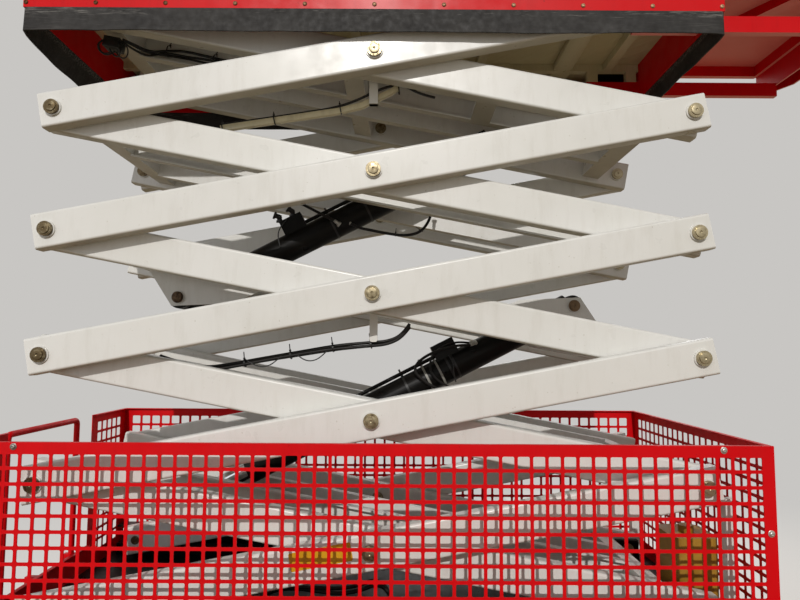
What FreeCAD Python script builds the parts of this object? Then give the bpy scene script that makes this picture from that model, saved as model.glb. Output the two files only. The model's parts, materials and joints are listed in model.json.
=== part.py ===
import FreeCAD, Part
import math
import os

# Scissor lift with five pairs of crossed arms, in millimetres.
# X runs along the machine, Y across it and Z up. While the model is built, x = 0 is the
# middle of the arm pins in the stored pose; write() moves all of it to the final origin.

V = FreeCAD.Vector
os.makedirs("parts", exist_ok=True)

# Scissor
LEVELS = 5
ARM_L = 2350.0
ARM_H = 130.0
ARM_T = 60.0
ARM_WALL = 5.0
ARM_OVER = 50.0
ARM_ROUND = 10.0
REST_DEG = 10.85
LOW_DEG = 4.5
HIGH_DEG = 43.0
BASE_Z = 672.0
OUTER_FACE = 466.0
ARM_GAP = 8.0
COLLAR = 6.0
BOSS_R = 31.5
PIN_R = 20.0
FIT = 0.3
HEAD_R = 26.5
HEAD_T = 10.0
ROLLER_R = 35.0
ROLLER_W = 50.0
TIE_HALF = 40.0
TIE_WALL = 5.0
TIE_INSET = 125.0
SPINE_HALF = 50.0
SPINE_T = 12.0
SPINE_FLANGE = 40.0
FLANGE_T = 8.0
SPINE_STEP = 43.0
PLATE_W = 80.0
PLATE_H = 60.0
PLATES_AT = (-80.0, 445.0)

# Cylinders
BRACKET_U = 800.0
BRACKET_V = 140.0
ROD_V = 110.0
BRACKET_GAP = 82.0
BRACKET_T = 12.0
BARREL_R = 57.5
BARREL_WALL = 10.0
BARREL_L = 1500.0
GLAND_L = 60.0
ROD_R = 35.0
ROD_L = 1350.0
VALVE_AT = 500.0
VALVE_L = 100.0
VALVE_H = 55.0
PIPE_R = 8.0
EYE_R = 45.0

# Hose bundle: its route as (x, z) points, in the plane beside the inner arms
HOSE_R = 15.0
HANGER_T = 8.0
HANGER_DROP = 186.0
HOSE_ROUTE = [(-800, 1548), (-718, 1518), (-630, 1502), (-530, 1518), (-400, 1544), (-265, 1567), (-140, 1588),
              (-20, 1599), (55, 1606), (108, 1632), (135, 1672)]

# Chassis
END_ROOM = 135.0
SIDE_ROOM = 134.0
DECK_TOP = 585.0
DECK_T = 15.0
BEAM_IN = 165.0
BEAM_W = 60.0
BEAM_BOTTOM = 380.0
WHEELBASE = 1700.0
WHEEL_R = 280.0
WHEEL_W = 190.0
WHEEL_INSET = 115.0
RIM_R = 170.0
TYRE_SIDES = 60
HUB_R = 60.0
SPINDLE_R = 25.0
KING_INSET = 140.0
KING_R = 18.0
KNUCKLE_R = 38.0
FORK_GAP = 65.0
FORK_T = 20.0
FORK_W = 70.0
FORK_BACK = 75.0
FORK_FRONT = 30.0
FORK_WEB = 30.0
STEER_ARM = 110.0
STEER_T = 12.0
STEER_DROP = 15.0
SPINDLE_L = 60.0
AXLE_H = 80.0
STEER_ROOM = 150.0
TYRE_ROOM = 30.0
RAIL_T = 8.0
RAIL_PLAY = 6.0
RAIL_SPARE = 50.0
LUG_REACH = 60.0
LUG_T = 20.0
LUG_Z = 460.0
LUG_HOLE_R = 16.5

# Guard of punched sheet
GUARD_TOP = 1276.0
SHEET_T = 3.0
HOLE_PITCH = 50.0
WEB = 11.0
GUARD_EDGE = 38.0
GUARD_FOLD = 15.0
ENTRY = (-370.0, 250.0)
SILL_H = 125.0
RUNG = 24.0
RUNGS_AT = (330.0, 530.0)
LADDER_REACH = 40.0
LADDER_ROOM = 15.0
POST = 34.0
POST_H = 490.0
POST_ROOM = 16.0
POST_SET = 9.0
TANK_L = 170.0
TANK_W = 200.0
TANK_H = 300.0
TANK_Y = 60.0
TANK_ROOM = 8.0
TANK_ROUND = 35.0
CAP_R = 28.0
CAP_H = 25.0

# Platform, above the upper pins
PLAT_END = 85.0
PLAT_SIDE = 34.0
SKIRT_DROP = 167.0
SIDE_DROP = 84.0
DECK_RISE = 88.0
PLATE_T = 8.0
JOIST_H = 34.0
RAIL_H = 1100.0
TUBE = 40.0
EXT_L = 1500.0
EXT_OUT = 650.0
EXT_H = 60.0
NOSE_LOW = 11.0
NOSE_GAP = 6.0
NOSE_WALL = 8.0
DRAW_LOW = 64.0
DRAW_H = 65.0
DRAW_W = 30.0
DRAW_HELD = 260.0
BRACE_W = 60.0
BRACE_RUN = 500.0
CHAMFER = 90.0

REST = math.radians(REST_DEG)
RUN = ARM_L * math.cos(REST)
RISE = ARM_L * math.sin(REST)
PIN_X = RUN / 2
TOP_Z = BASE_Z + LEVELS * RISE
OUTER_IN = OUTER_FACE - ARM_T
INNER_FACE = OUTER_IN - ARM_GAP
INNER_IN = INNER_FACE - ARM_T
SHIM = ARM_GAP / 2 - FIT / 2
TIE_U = ARM_L / 2 - TIE_INSET
CHASSIS_L = ARM_L + 2 * END_ROOM
CHASSIS_W = 2 * (OUTER_FACE + SIDE_ROOM)
PLAT_L = ARM_L + 2 * PLAT_END
PLAT_W = 2 * (OUTER_FACE + PLAT_SIDE)
WHEEL_Y = CHASSIS_W / 2 - WHEEL_INSET
KING_Y = WHEEL_Y - KING_INSET
ROLLER_START = PIN_X - ARM_L * math.cos(math.radians(LOW_DEG)) - ROLLER_R - RAIL_SPARE
ROLLER_STOP = PIN_X - ARM_L * math.cos(math.radians(HIGH_DEG)) + ROLLER_R + RAIL_SPARE
EXT_END = PLAT_L / 2 + EXT_OUT + CHAMFER
FRAME_END = CHASSIS_L / 2 - SHEET_T
GROUND_X = (EXT_END - FRAME_END - LUG_REACH) / 2


def box(x0, x1, y0, y1, z0, z1):
    return Part.makeBox(x1 - x0, y1 - y0, z1 - z0, V(x0, y0, z0))


def rod(radius, p, q):
    d = V(*q) - V(*p)
    return Part.makeCylinder(radius, d.Length, V(*p), d)


def across(radius, x, z, y0, y1):
    return rod(radius, (x, y0, z), (x, y1, z))


def fused(shapes):
    whole = shapes[0].multiFuse(shapes[1:]) if len(shapes) > 1 else shapes[0]
    return whole.removeSplitter()


def mirrored(shape):
    return shape.mirror(V(0, 0, 0), V(0, 1, 0))


def both_sides(shape):
    return [shape, mirrored(shape)]


def prism(points, y0, y1):
    loop = [V(x, y0, z) for x, z in points]
    return Part.Face(Part.makePolygon(loop + loop[:1])).extrude(V(0, y1 - y0, 0))


def write(name, shapes):
    shapes = shapes if isinstance(shapes, list) else [shapes]
    solids = [s for shape in shapes for s in shape.Solids]
    part = solids[0] if len(solids) == 1 else Part.makeCompound(solids)
    part.translate(V(-GROUND_X, 0, 0))
    part.exportStep("parts/%s.step" % name)


def level_z(k):
    return BASE_Z + (k - 0.5) * RISE


def placed(shape, k, lean):
    """Lean a shape made about the arm's middle and move it to level k."""
    shape.rotate(V(0, 0, 0), V(0, 1, 0), math.degrees(lean))
    shape.translate(V(0, 0, level_z(k)))
    return shape


def arm(y0, y1, proud0, proud1):
    half = ARM_L / 2 + ARM_OVER
    bar = box(-half, half, y0, y1, -ARM_H / 2, ARM_H / 2)
    long_edges = [e for e in bar.Edges if abs(e.Length - 2 * half) < 0.1]
    bar = bar.makeFillet(ARM_ROUND, long_edges)
    w = ARM_WALL
    bar = bar.cut(box(-half + w, half - w, y0 + w, y1 - w, -ARM_H / 2 + w, ARM_H / 2 - w))
    for x in (-ARM_L / 2, 0, ARM_L / 2):
        bar = bar.fuse(across(BOSS_R, x, 0, y0 - proud0, y1 + proud1))
        bar = bar.cut(across(PIN_R + FIT, x, 0, y0 - 2 * proud0, y1 + 2 * proud1))
    return bar


def pin(x, z, y0, y1, head0, head1):
    """A round pin across the arms, with a head of the given thickness at each end."""
    parts = [across(PIN_R, x, z, y0 - head0, y1 + head1)]
    for start, thick in ((y0 - head0, head0), (y1, head1)):
        if thick:
            parts.append(across(HEAD_R, x, z, start, start + thick))
    return fused(parts)


OUTER_BOSS = (OUTER_IN - SHIM, OUTER_FACE + COLLAR)
INNER_BOSS = (INNER_IN - COLLAR, INNER_FACE + SHIM)


def arm_pin(x, z):
    return both_sides(pin(x, z, INNER_BOSS[0] - FIT, OUTER_BOSS[1] + FIT, HEAD_T, HEAD_T))


def bracket(u_sign, v_sign, reach):
    """Twin plates standing on the spines, which hold a cylinder's pin beside the arm line."""
    # Distance along the arm from the pin, and height above the arm line
    corners = [(-325, 0), (-325, SPINE_HALF), (-225, reach - 20), (20, reach + 40), (145, SPINE_HALF), (145, 0)]
    shape = [(u_sign * (BRACKET_U + u), v_sign * v) for u, v in corners]
    return both_sides(prism(shape, BRACKET_GAP, BRACKET_GAP + BRACKET_T))


def tie(u):
    """A square tube from one inner arm to the other."""
    w = TIE_HALF - TIE_WALL
    tube = box(u - TIE_HALF, u + TIE_HALF, -INNER_IN, INNER_IN, -TIE_HALF, TIE_HALF)
    return tube.cut(box(u - w, u + w, -INNER_IN, INNER_IN, -w, w))


def spine(y):
    """A channel along the inner arms, between the two cross tubes."""
    reach = TIE_U - TIE_HALF
    parts = [box(-reach, reach, y, y + SPINE_T, -SPINE_HALF, SPINE_HALF)]
    for z0 in (-SPINE_HALF, SPINE_HALF - FLANGE_T):
        parts.append(box(-reach, reach, y, y + SPINE_FLANGE, z0, z0 + FLANGE_T))
    return both_sides(fused(parts))


# Arms and pins, level by level
BRACKETS = {1: [(-1, -1, ROD_V)], 3: [(1, 1, BRACKET_V), (-1, -1, BRACKET_V)], 5: [(1, 1, ROD_V)]}
PINNED = {3}
for k in range(1, LEVELS + 1):
    outer = placed(arm(OUTER_IN, OUTER_FACE, SHIM, COLLAR), k, -REST)
    write("outer_arms_%d" % k, both_sides(outer))
    inner = placed(arm(INNER_IN, INNER_FACE, COLLAR, SHIM), k, REST)
    write("inner_arms_%d" % k, both_sides(inner))
    spine_y = BRACKET_GAP if k % 2 else BRACKET_GAP + SPINE_STEP
    ties = [tie(-TIE_U), tie(TIE_U)] + spine(spine_y)
    if k == LEVELS:
        for u in PLATES_AT:
            ties += both_sides(box(u - PLATE_W / 2, u + PLATE_W / 2, spine_y + SPINE_T, INNER_IN,
                                   -SPINE_HALF, PLATE_H - SPINE_HALF))
    for u_sign, v_sign, reach in BRACKETS.get(k, []):
        ties += bracket(u_sign, v_sign, reach)
        if k in PINNED:
            y = BRACKET_GAP + BRACKET_T + HEAD_T
            ties.append(across(PIN_R, u_sign * BRACKET_U, v_sign * reach, -y, y))
    write("inner_ties_%d" % k, placed(fused(ties), k, REST))

    low_z, high_z = level_z(k) - RISE / 2, level_z(k) + RISE / 2
    pins = arm_pin(0, level_z(k))
    if k > 1:
        pins += arm_pin(-PIN_X, low_z)
    else:
        start = OUTER_BOSS[1] + FIT
        axle = pin(-PIN_X, low_z, OUTER_BOSS[0] - FIT, start + ROLLER_W + HEAD_T, 0, 0)
        roller = across(ROLLER_R, -PIN_X, low_z, start, start + ROLLER_W)
        pins += both_sides(fused([axle, roller]))
    if k < LEVELS:
        pins += arm_pin(PIN_X, high_z)
    write("pins_%d" % k, pins)

start = INNER_BOSS[1] + 3.5
axle = pin(-PIN_X, TOP_Z, INNER_BOSS[0] - FIT, start + ROLLER_W + 4, 0, 0)
roller = across(ROLLER_R, -PIN_X, TOP_Z, start, start + ROLLER_W)
write("top_rollers", both_sides(fused([axle, roller])))
TOP_ROLLER = (start, start + ROLLER_W)


# Hoses carried below the third level's outer arms, on a hanger from the middle pin
def hose(points, radius):
    """A tube of straight runs and tangent arcs through points of (x, z) in one plane."""
    spots = [V(x, HOSE_Y, z) for x, z in points]
    edges, at = [], spots[0]
    for before, corner, after in zip(spots, spots[1:], spots[2:]):
        d0, d1 = (before - corner), (after - corner)
        half_turn = (math.pi - d0.getAngle(d1)) / 2
        back = 0.45 * min(d0.Length, d1.Length)
        bend = back / math.tan(half_turn)
        print("hose bend %.0f mm" % bend)
        d0.normalize()
        d1.normalize()
        start, end = corner + d0 * back, corner + d1 * back
        middle = (d0 + d1).normalize() * (bend / math.cos(half_turn) - bend)
        edges += [Part.LineSegment(at, start).toShape(), Part.Arc(start, corner + middle, end).toShape()]
        at = end
    edges.append(Part.LineSegment(at, spots[-1]).toShape())
    path = Part.Wire(edges)
    ring_at = Part.Wire(Part.makeCircle(radius, spots[0], spots[1] - spots[0]))
    tube = path.makePipeShell([ring_at], True, True)
    print("hose volume share %.3f" % (tube.Volume / (math.pi * radius ** 2 * path.Length)))
    return tube


hanger_y = -(INNER_BOSS[0] - FIT - HEAD_T - FIT)
HOSE_Y = hanger_y + HANGER_T + HOSE_R
hanger = box(-15, 15, hanger_y, hanger_y + HANGER_T, level_z(3) - HANGER_DROP, level_z(3) + 15)
write("arm_hoses", [hose(HOSE_ROUTE, HOSE_R), hanger])


# Cylinders
def arm_point(k, u, v):
    return (u * math.cos(REST) + v * math.sin(REST),
            level_z(k) - u * math.sin(REST) + v * math.cos(REST))


def cylinder(name, base, tip):
    """The barrel turns on the pin at base, and its rod ends at tip."""
    (bx, bz), (tx, tz) = base, tip
    length = math.hypot(tx - bx, tz - bz)
    turn = -math.degrees(math.atan2(tz - bz, tx - bx))
    half = BRACKET_GAP - 2
    barrel = fused([across(EYE_R, 0, 0, -half, half), rod(BARREL_R, (0, 0, 0), (BARREL_L, 0, 0))])
    inside = BARREL_R - BARREL_WALL
    barrel = barrel.cut(rod(inside, (EYE_R + 30, 0, 0), (BARREL_L - GLAND_L, 0, 0)))
    barrel = barrel.cut(rod(ROD_R + FIT, (BARREL_L - GLAND_L, 0, 0), (BARREL_L + 1, 0, 0)))
    barrel = barrel.cut(across(PIN_R + FIT, 0, 0, -half - 1, half + 1))
    up = 1 if tip[0] > base[0] else -1
    port = BARREL_L - GLAND_L
    oil = []
    for start, long, wide, tall in ((VALVE_AT, VALVE_L, 35, VALVE_H), (port, GLAND_L / 2, 16, 3 * PIPE_R)):
        z0, z1 = sorted((0, up * (BARREL_R + tall)))
        oil.append(box(start, start + long, -wide, wide, z0, z1).cut(rod(BARREL_R, (0, 0, 0), (BARREL_L, 0, 0))))
    pipe_z = up * (BARREL_R + 1.5 * PIPE_R)
    oil.append(rod(PIPE_R, (VALVE_AT + VALVE_L, 0, pipe_z), (port, 0, pipe_z)))
    barrel = Part.makeCompound([barrel] + oil)
    piston = length - ROD_L
    shaft = fused([rod(ROD_R, (piston, 0, 0), (length - EYE_R / 2, 0, 0)),
                   rod(inside - FIT, (piston, 0, 0), (piston + 60, 0, 0)),
                   across(EYE_R, length, 0, -half, half),
                   across(PIN_R, length, 0, -BRACKET_GAP + FIT, BRACKET_GAP - FIT)])
    for suffix, shape in (("barrel", barrel), ("rod", shaft)):
        shape.rotate(V(0, 0, 0), V(0, 1, 0), turn)
        shape.translate(V(bx, 0, bz))
        write("%s_%s" % (name, suffix), shape)


cylinder("lower", arm_point(3, BRACKET_U, BRACKET_V), arm_point(1, -BRACKET_U, -ROD_V))
cylinder("upper", arm_point(3, -BRACKET_U, -BRACKET_V), arm_point(5, BRACKET_U, ROD_V))

# Chassis frame and deck
half_l = FRAME_END
half_w = CHASSIS_W / 2 - SHEET_T
deck_low = DECK_TOP - DECK_T
beam = box(-half_l, half_l, BEAM_IN, BEAM_IN + BEAM_W, BEAM_BOTTOM, deck_low)
cross = [box(x - 30, x + 30, -BEAM_IN, BEAM_IN, BEAM_BOTTOM + 20, deck_low)
         for x in (-half_l + 30, -400, 400, half_l - 30)]
ears = []
for end in (-1, 1):
    inner_x, outer_x = end * half_l, end * (half_l + LUG_REACH)
    ear = box(min(inner_x, outer_x), max(inner_x, outer_x), BEAM_IN, BEAM_IN + LUG_T, LUG_Z - 32, LUG_Z + 32)
    hole_x = end * (half_l + LUG_REACH / 2)
    ears += both_sides(ear.cut(across(LUG_HOLE_R, hole_x, LUG_Z, BEAM_IN - 1, BEAM_IN + LUG_T + 1)))
write("chassis_frame", fused(both_sides(beam) + cross + ears))
write("chassis_deck", box(-half_l, half_l, -half_w, half_w, deck_low, DECK_TOP))

# Roller channels and pivot lugs on the deck
low = BASE_Z - ROLLER_R - FIT
high = BASE_Z + ROLLER_R + RAIL_PLAY
web = OUTER_BOSS[1] + FIT + ROLLER_W + HEAD_T + RAIL_PLAY
mouth = OUTER_BOSS[1] + RAIL_PLAY
channel = fused([box(ROLLER_START, ROLLER_STOP, web, web + RAIL_T, DECK_TOP, high + RAIL_T),
                 box(ROLLER_START, ROLLER_STOP, mouth, web, DECK_TOP, low),
                 box(ROLLER_START, ROLLER_STOP, mouth, web, high, high + RAIL_T)])
lugs = []
for y0, y1 in ((INNER_BOSS[0] - FIT - 25, INNER_BOSS[0] - FIT), (INNER_BOSS[1] + FIT, INNER_BOSS[1] + FIT + 25)):
    lug = prism([(PIN_X - 110, DECK_TOP), (PIN_X + 55, DECK_TOP), (PIN_X + 50, BASE_Z + 40),
                 (PIN_X - 50, BASE_Z + 40)], y0, y1)
    lugs.append(lug.cut(across(PIN_R + FIT, PIN_X, BASE_Z, y0 - 1, y1 + 1)))
base_pin = pin(PIN_X, BASE_Z, INNER_BOSS[0] - 2 * FIT - 25, INNER_BOSS[1] + 2 * FIT + 25, HEAD_T, HEAD_T)
write("base_rails", [s for shape in [channel] + lugs for s in both_sides(shape)])
write("base_pins", both_sides(base_pin))

# Axles, knuckles and wheels
axle_x = WHEELBASE / 2
hub_in = WHEEL_Y - WHEEL_W / 2
frame_pad = box(-50, 50, BEAM_IN, BEAM_IN + BEAM_W, WHEEL_R + AXLE_H / 2, BEAM_BOTTOM)


def moved(shape, x, y=0, z=0):
    copy = shape.copy()
    copy.translate(V(x, y, z))
    return copy


drive_half = hub_in - 40
drive = [box(-AXLE_H / 2, AXLE_H / 2, -drive_half, drive_half, WHEEL_R - AXLE_H / 2, WHEEL_R + AXLE_H / 2)]
drive += both_sides(frame_pad)
drive += both_sides(across(HUB_R, 0, WHEEL_R, drive_half, hub_in + 20))
drive += both_sides(across(SPINDLE_R, 0, WHEEL_R, drive_half, WHEEL_Y + SPINDLE_L))
write("drive_axle", moved(fused(drive), axle_x))

fork_half = FORK_GAP + FORK_T
fork_in, web_out = KING_Y - FORK_BACK, KING_Y - FORK_BACK + FORK_WEB
steer = [box(-AXLE_H / 2, AXLE_H / 2, -web_out, web_out, WHEEL_R - AXLE_H / 2, WHEEL_R + AXLE_H / 2)]
steer += both_sides(frame_pad)
for z0 in (WHEEL_R - fork_half, WHEEL_R + FORK_GAP):
    steer += both_sides(box(-FORK_W / 2, FORK_W / 2, fork_in, KING_Y + FORK_FRONT, z0, z0 + FORK_T))
steer += both_sides(box(-FORK_W / 2, FORK_W / 2, fork_in, web_out, WHEEL_R - fork_half, WHEEL_R + fork_half))
steer = fused(steer)
for side in (1, -1):
    steer = steer.cut(rod(KING_R + FIT, (0, side * KING_Y, 0), (0, side * KING_Y, WHEEL_R + fork_half + 1)))
write("steer_axle", moved(steer, -axle_x))

arm_top = WHEEL_R - fork_half - STEER_DROP
arm_low = arm_top - STEER_T
knuckle = fused([rod(KNUCKLE_R, (0, KING_Y, WHEEL_R - FORK_GAP + 1), (0, KING_Y, WHEEL_R + FORK_GAP - 1)),
                 rod(KING_R, (0, KING_Y, arm_low), (0, KING_Y, WHEEL_R + fork_half + 5)),
                 across(SPINDLE_R, 0, WHEEL_R, KING_Y, WHEEL_Y + SPINDLE_L),
                 across(HUB_R, 0, WHEEL_R, hub_in - 15, hub_in + 20),
                 box(-20, STEER_ARM + 20, KING_Y - 20, KING_Y + 20, arm_low, arm_top)])
write("knuckle_near", moved(mirrored(knuckle), -axle_x))
write("knuckle_far", moved(knuckle, -axle_x))
tie_rod = [across(STEER_T, STEER_ARM, arm_low - 18, -KING_Y, KING_Y)]
tie_rod += both_sides(rod(20, (STEER_ARM, KING_Y, arm_low - 33), (STEER_ARM, KING_Y, arm_low - FIT)))
write("tie_rod", moved(fused(tie_rod), -axle_x))


def revolved(points):
    """A profile of (radius, across) points turned about the wheel's axle."""
    loop = [V(0, y, r) for r, y in points]
    return Part.Face(Part.makePolygon(loop + loop[:1])).revolve(V(0, 0, 0), V(0, 1, 0), 360)


def faceted(points):
    """A closed profile of (radius, across) points carried round the axle in flat faces."""
    step = 2 * math.pi / TYRE_SIDES
    rings = [[V(r * math.sin(i * step), y, r * math.cos(i * step)) for i in range(TYRE_SIDES)] for r, y in points]
    faces = []
    for near, far in zip(rings, rings[1:] + rings[:1]):
        for i in range(TYRE_SIDES):
            corners = [near[i - 1], near[i], far[i], far[i - 1]]
            faces.append(Part.Face(Part.makePolygon(corners + corners[:1])))
    solid = Part.makeSolid(Part.makeShell(faces))
    if solid.Volume < 0:
        solid.reverse()
    return solid


half = WHEEL_W / 2
tyre = faceted([(RIM_R + 1, -half + 15), (WHEEL_R - 25, -half), (WHEEL_R, -half + 30), (WHEEL_R, half - 30),
                (WHEEL_R - 25, half), (RIM_R + 1, half - 15)])
rim = revolved([(SPINDLE_R + FIT, -half + 55), (HUB_R, -half + 55), (HUB_R, -20), (RIM_R - 14, -8),
                (RIM_R - 14, -half + 8), (RIM_R, -half + 8), (RIM_R, half - 8),
                (RIM_R - 14, half - 8), (RIM_R - 14, 12), (HUB_R, 6), (HUB_R, 40), (SPINDLE_R + FIT, 40)])
for name, x, side in (("front_near", -axle_x, -1), ("front_far", -axle_x, 1),
                      ("rear_near", axle_x, -1), ("rear_far", axle_x, 1)):
    for kind, shape in (("tyre", tyre), ("rim", rim)):
        shape = shape.copy() if side > 0 else mirrored(shape)
        write("%s_%s" % (kind, name), moved(shape, x, side * WHEEL_Y, WHEEL_R))

side_box = box(-axle_x + WHEEL_R + STEER_ROOM, axle_x - WHEEL_R - TYRE_ROOM, BEAM_IN + BEAM_W, half_w,
               WHEEL_R - 30, deck_low)
write("side_boxes", both_sides(side_box))

# Guard round the arms
gx, gy = CHASSIS_L / 2, CHASSIS_W / 2
guard_low, end_y = DECK_TOP - DECK_T, CHASSIS_W / 2 - SHEET_T


def strips(low, high, even):
    """The strips that rows of square holes leave between low and high."""
    holes = int((high - low - 2 * GUARD_EDGE + WEB) // HOLE_PITCH)
    spare = high - low - holes * HOLE_PITCH + WEB
    first = low + (spare / 2 if even else spare - GUARD_EDGE)
    spans = [(low, first)]
    spans += [(first + i * HOLE_PITCH - WEB, first + i * HOLE_PITCH) for i in range(1, holes)]
    return spans + [(first + holes * HOLE_PITCH - WEB, high)]


def punched(a0, a1, place):
    """A punched sheet: its border and uprights in one piece, with bars against their inner face."""
    mid = SHEET_T / 2
    bars = strips(guard_low, GUARD_TOP, False)
    comb = [place(a, b, 0, mid, guard_low, GUARD_TOP) for a, b in strips(a0, a1, True)]
    comb += [place(a0, a1, 0, SHEET_T, a, b) for a, b in (bars[0], bars[-1])]
    return [fused(comb)] + [place(a0, a1, mid, SHEET_T, a, b) for a, b in bars[1:-1]]


def on_side(a, b, t0, t1, z0, z1):
    return box(a, b, gy - t1, gy - t0, z0, z1)


def on_rear(a, b, t0, t1, z0, z1):
    return box(gx - t1, gx - t0, a, b, z0, z1)


def on_front(a, b, t0, t1, z0, z1):
    return box(-gx + t0, -gx + t1, a, b, z0, z1)


fold = (SHEET_T, SHEET_T + GUARD_FOLD, GUARD_TOP - SHEET_T, GUARD_TOP)
side = punched(-gx, gx, on_side) + [on_side(-gx + SHEET_T, gx - SHEET_T, *fold)]
write("guard_sides", [s for part in side for s in both_sides(part)])
ends = punched(-end_y, end_y, on_rear) + [on_rear(-end_y + GUARD_FOLD, end_y - GUARD_FOLD, *fold)]
ends += punched(-end_y, ENTRY[0], on_front) + punched(ENTRY[1], end_y, on_front)
ends.append(on_front(ENTRY[0], ENTRY[1], 0, SHEET_T, guard_low, guard_low + SILL_H))
write("guard_ends", ends)
# The ladder fits between the frame's eyes, so that a pin can enter them from outside
ladder_y = BEAM_IN - LADDER_ROOM
ladder = [box(-gx - LADDER_REACH, -gx, y, y + RUNG, RUNGS_AT[0] - RUNG, guard_low + SILL_H)
          for y in (-ladder_y, ladder_y - RUNG)]
ladder += [box(-gx - LADDER_REACH, -gx, -ladder_y, ladder_y, z, z + RUNG) for z in RUNGS_AT]
write("ladder", fused(ladder))
post_x, post_y = PIN_X + ARM_OVER + POST_ROOM, OUTER_FACE - POST_SET
post = box(post_x, post_x + POST, post_y - POST, post_y, DECK_TOP, DECK_TOP + POST_H)
write("end_posts", both_sides(post))
tank_x = gx - SHEET_T - TANK_ROOM - TANK_L
tank = box(tank_x, tank_x + TANK_L, -TANK_Y - TANK_W, -TANK_Y, DECK_TOP, DECK_TOP + TANK_H)
tank = tank.makeFillet(TANK_ROUND, [e for e in tank.Edges if abs(e.Length - TANK_H) < 0.1])
cap_at = (tank_x + TANK_L / 2, -TANK_Y - TANK_W / 2)
tank_top = DECK_TOP + TANK_H
write("oil_tank", fused([tank, rod(CAP_R, (*cap_at, tank_top), (*cap_at, tank_top + CAP_H))]))

# Platform frame
z = TOP_Z
px, py = PLAT_L / 2, PLAT_W / 2
side_bottom, deck_z = z - SIDE_DROP, z + DECK_RISE
sides = both_sides(box(-px, px, py - PLATE_T, py, side_bottom, deck_z))
ends = [box(x, x + PLATE_T, -py + PLATE_T, py - PLATE_T, side_bottom, deck_z) for x in (-px, px - PLATE_T)]
long_in = INNER_BOSS[0] - HEAD_T - 6 - DRAW_W
draw_low, draw_top = z - DRAW_LOW, z - DRAW_LOW + DRAW_H
slots = both_sides(box(px - PLATE_T - 1, px + 1, long_in - 6, long_in + DRAW_W + 6, draw_low - 6, draw_top + 6))
write("platform_sides", fused(sides + ends).cut(Part.makeCompound(slots)))
longs = both_sides(box(-px + PLATE_T, px - PLATE_T, long_in, long_in + DRAW_W, deck_z - JOIST_H, deck_z))
joists = []
for x, reach in ((-px + 210, long_in), (-px + 530, long_in), (-380, py - PLATE_T), (-100, py - PLATE_T),
                 (180, py - PLATE_T), (480, py - PLATE_T), (px - 160, long_in)):
    joists.append(box(x - 20, x + 20, -reach, reach, deck_z - JOIST_H, deck_z))
# Shoes that hold the roll-out deck's slide beams down
for x in (px - DRAW_HELD + 30, px - PLATE_T - 35):
    longs += both_sides(box(x - 25, x + 25, long_in, long_in + DRAW_W, draw_top + FIT, deck_z - JOIST_H))
write("platform_frame", fused(longs + joists))
write("platform_deck", box(-px, px, -py, py, deck_z, deck_z + PLATE_T))

top = z + ROLLER_R + FIT
bottom = z - ROLLER_R - RAIL_PLAY
web = TOP_ROLLER[1] + 4 + RAIL_PLAY
mouth = TOP_ROLLER[0] + 1
guide = fused([box(-px + PLATE_T, ROLLER_STOP, web, web + RAIL_T, bottom - 6, top + 6),
               box(-px + PLATE_T, ROLLER_STOP, mouth, web, top, top + 6),
               box(-px + PLATE_T, ROLLER_STOP, mouth, web, bottom - 6, bottom),
               box(-px + PLATE_T, ROLLER_STOP, web + RAIL_T, py - PLATE_T, z - 10, z + 10)])
pivots = []
for y0, y1 in ((OUTER_BOSS[1] + FIT, py - PLATE_T), (OUTER_BOSS[0] - FIT - 22, OUTER_BOSS[0] - FIT)):
    lug = prism([(PIN_X - 90, deck_z), (PIN_X - 40, z - 40), (PIN_X + 40, z - 40), (PIN_X + 80, deck_z)], y0, y1)
    pivots.append(lug.cut(across(PIN_R + FIT, PIN_X, z, y0 - 1, y1 + 1)))
write("platform_guides", [s for shape in [guide] + pivots for s in both_sides(shape)])
write("platform_pins", both_sides(pin(PIN_X, z, OUTER_BOSS[0] - 2 * FIT - 22, py - PLATE_T - FIT, HEAD_T, 0)))

# Rubber skirt below the platform's edge
skirt = box(-px, px, -py, py, z - SKIRT_DROP, side_bottom).cut(
    box(-px + 6, px - 6, -py + 6, py - 6, z - SKIRT_DROP - 1, side_bottom + 1))
write("platform_skirt", skirt)

# Guardrail, gate and roll-out deck
floor = deck_z + PLATE_T
rail_top = floor + RAIL_H
t = TUBE


def rail_run(x0, x1, y, stations):
    """Posts and three rails along X with its outer face at y."""
    parts = [box(x - t / 2, x + t / 2, y - t, y, floor, rail_top) for x in stations]
    parts += [box(x0, x1, y - t, y, h - t, h) for h in (rail_top, floor + RAIL_H / 2)]
    parts.append(box(x0, x1, y - 6, y, floor, floor + 150))
    return parts


stations = [-px + t / 2, -px / 2, 0, px / 2, px - t / 2]
hinge_x, hinge_y = -px + t + 8, py - t - 3
hinge_z = (floor + 250, rail_top - 200)
far_rail = fused(rail_run(-px, px, py, stations) +
                 [box(-px + t, hinge_x + 9, hinge_y - 3, py - t + 12, h, h + 20) for h in hinge_z])
for h in hinge_z:
    far_rail = far_rail.cut(rod(4 + FIT, (hinge_x, hinge_y, h - 1), (hinge_x, hinge_y, h + 21)))
write("guardrail_far", far_rail)
write("guardrail_near", mirrored(fused(rail_run(-px, px, py, stations))))
gate_half = py - t - 6
gate = [box(-px, -px + t, y0, y0 + t, floor + 60, rail_top) for y0 in (-gate_half, gate_half - t)]
gate += [box(-px, -px + t, -gate_half, gate_half, h - t, h) for h in (rail_top, floor + RAIL_H / 2, floor + 100)]
for h in hinge_z:
    gate.append(rod(7.5, (hinge_x, hinge_y, h + 20 + FIT), (hinge_x, hinge_y, h + 40)))
    gate.append(box(-px + t, hinge_x + 7, hinge_y - 17, hinge_y, h + 20 + FIT, h + 40))
    gate.append(rod(4, (hinge_x, hinge_y, h - 4), (hinge_x, hinge_y, h + 30)))
write("gate", fused(gate))

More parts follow.
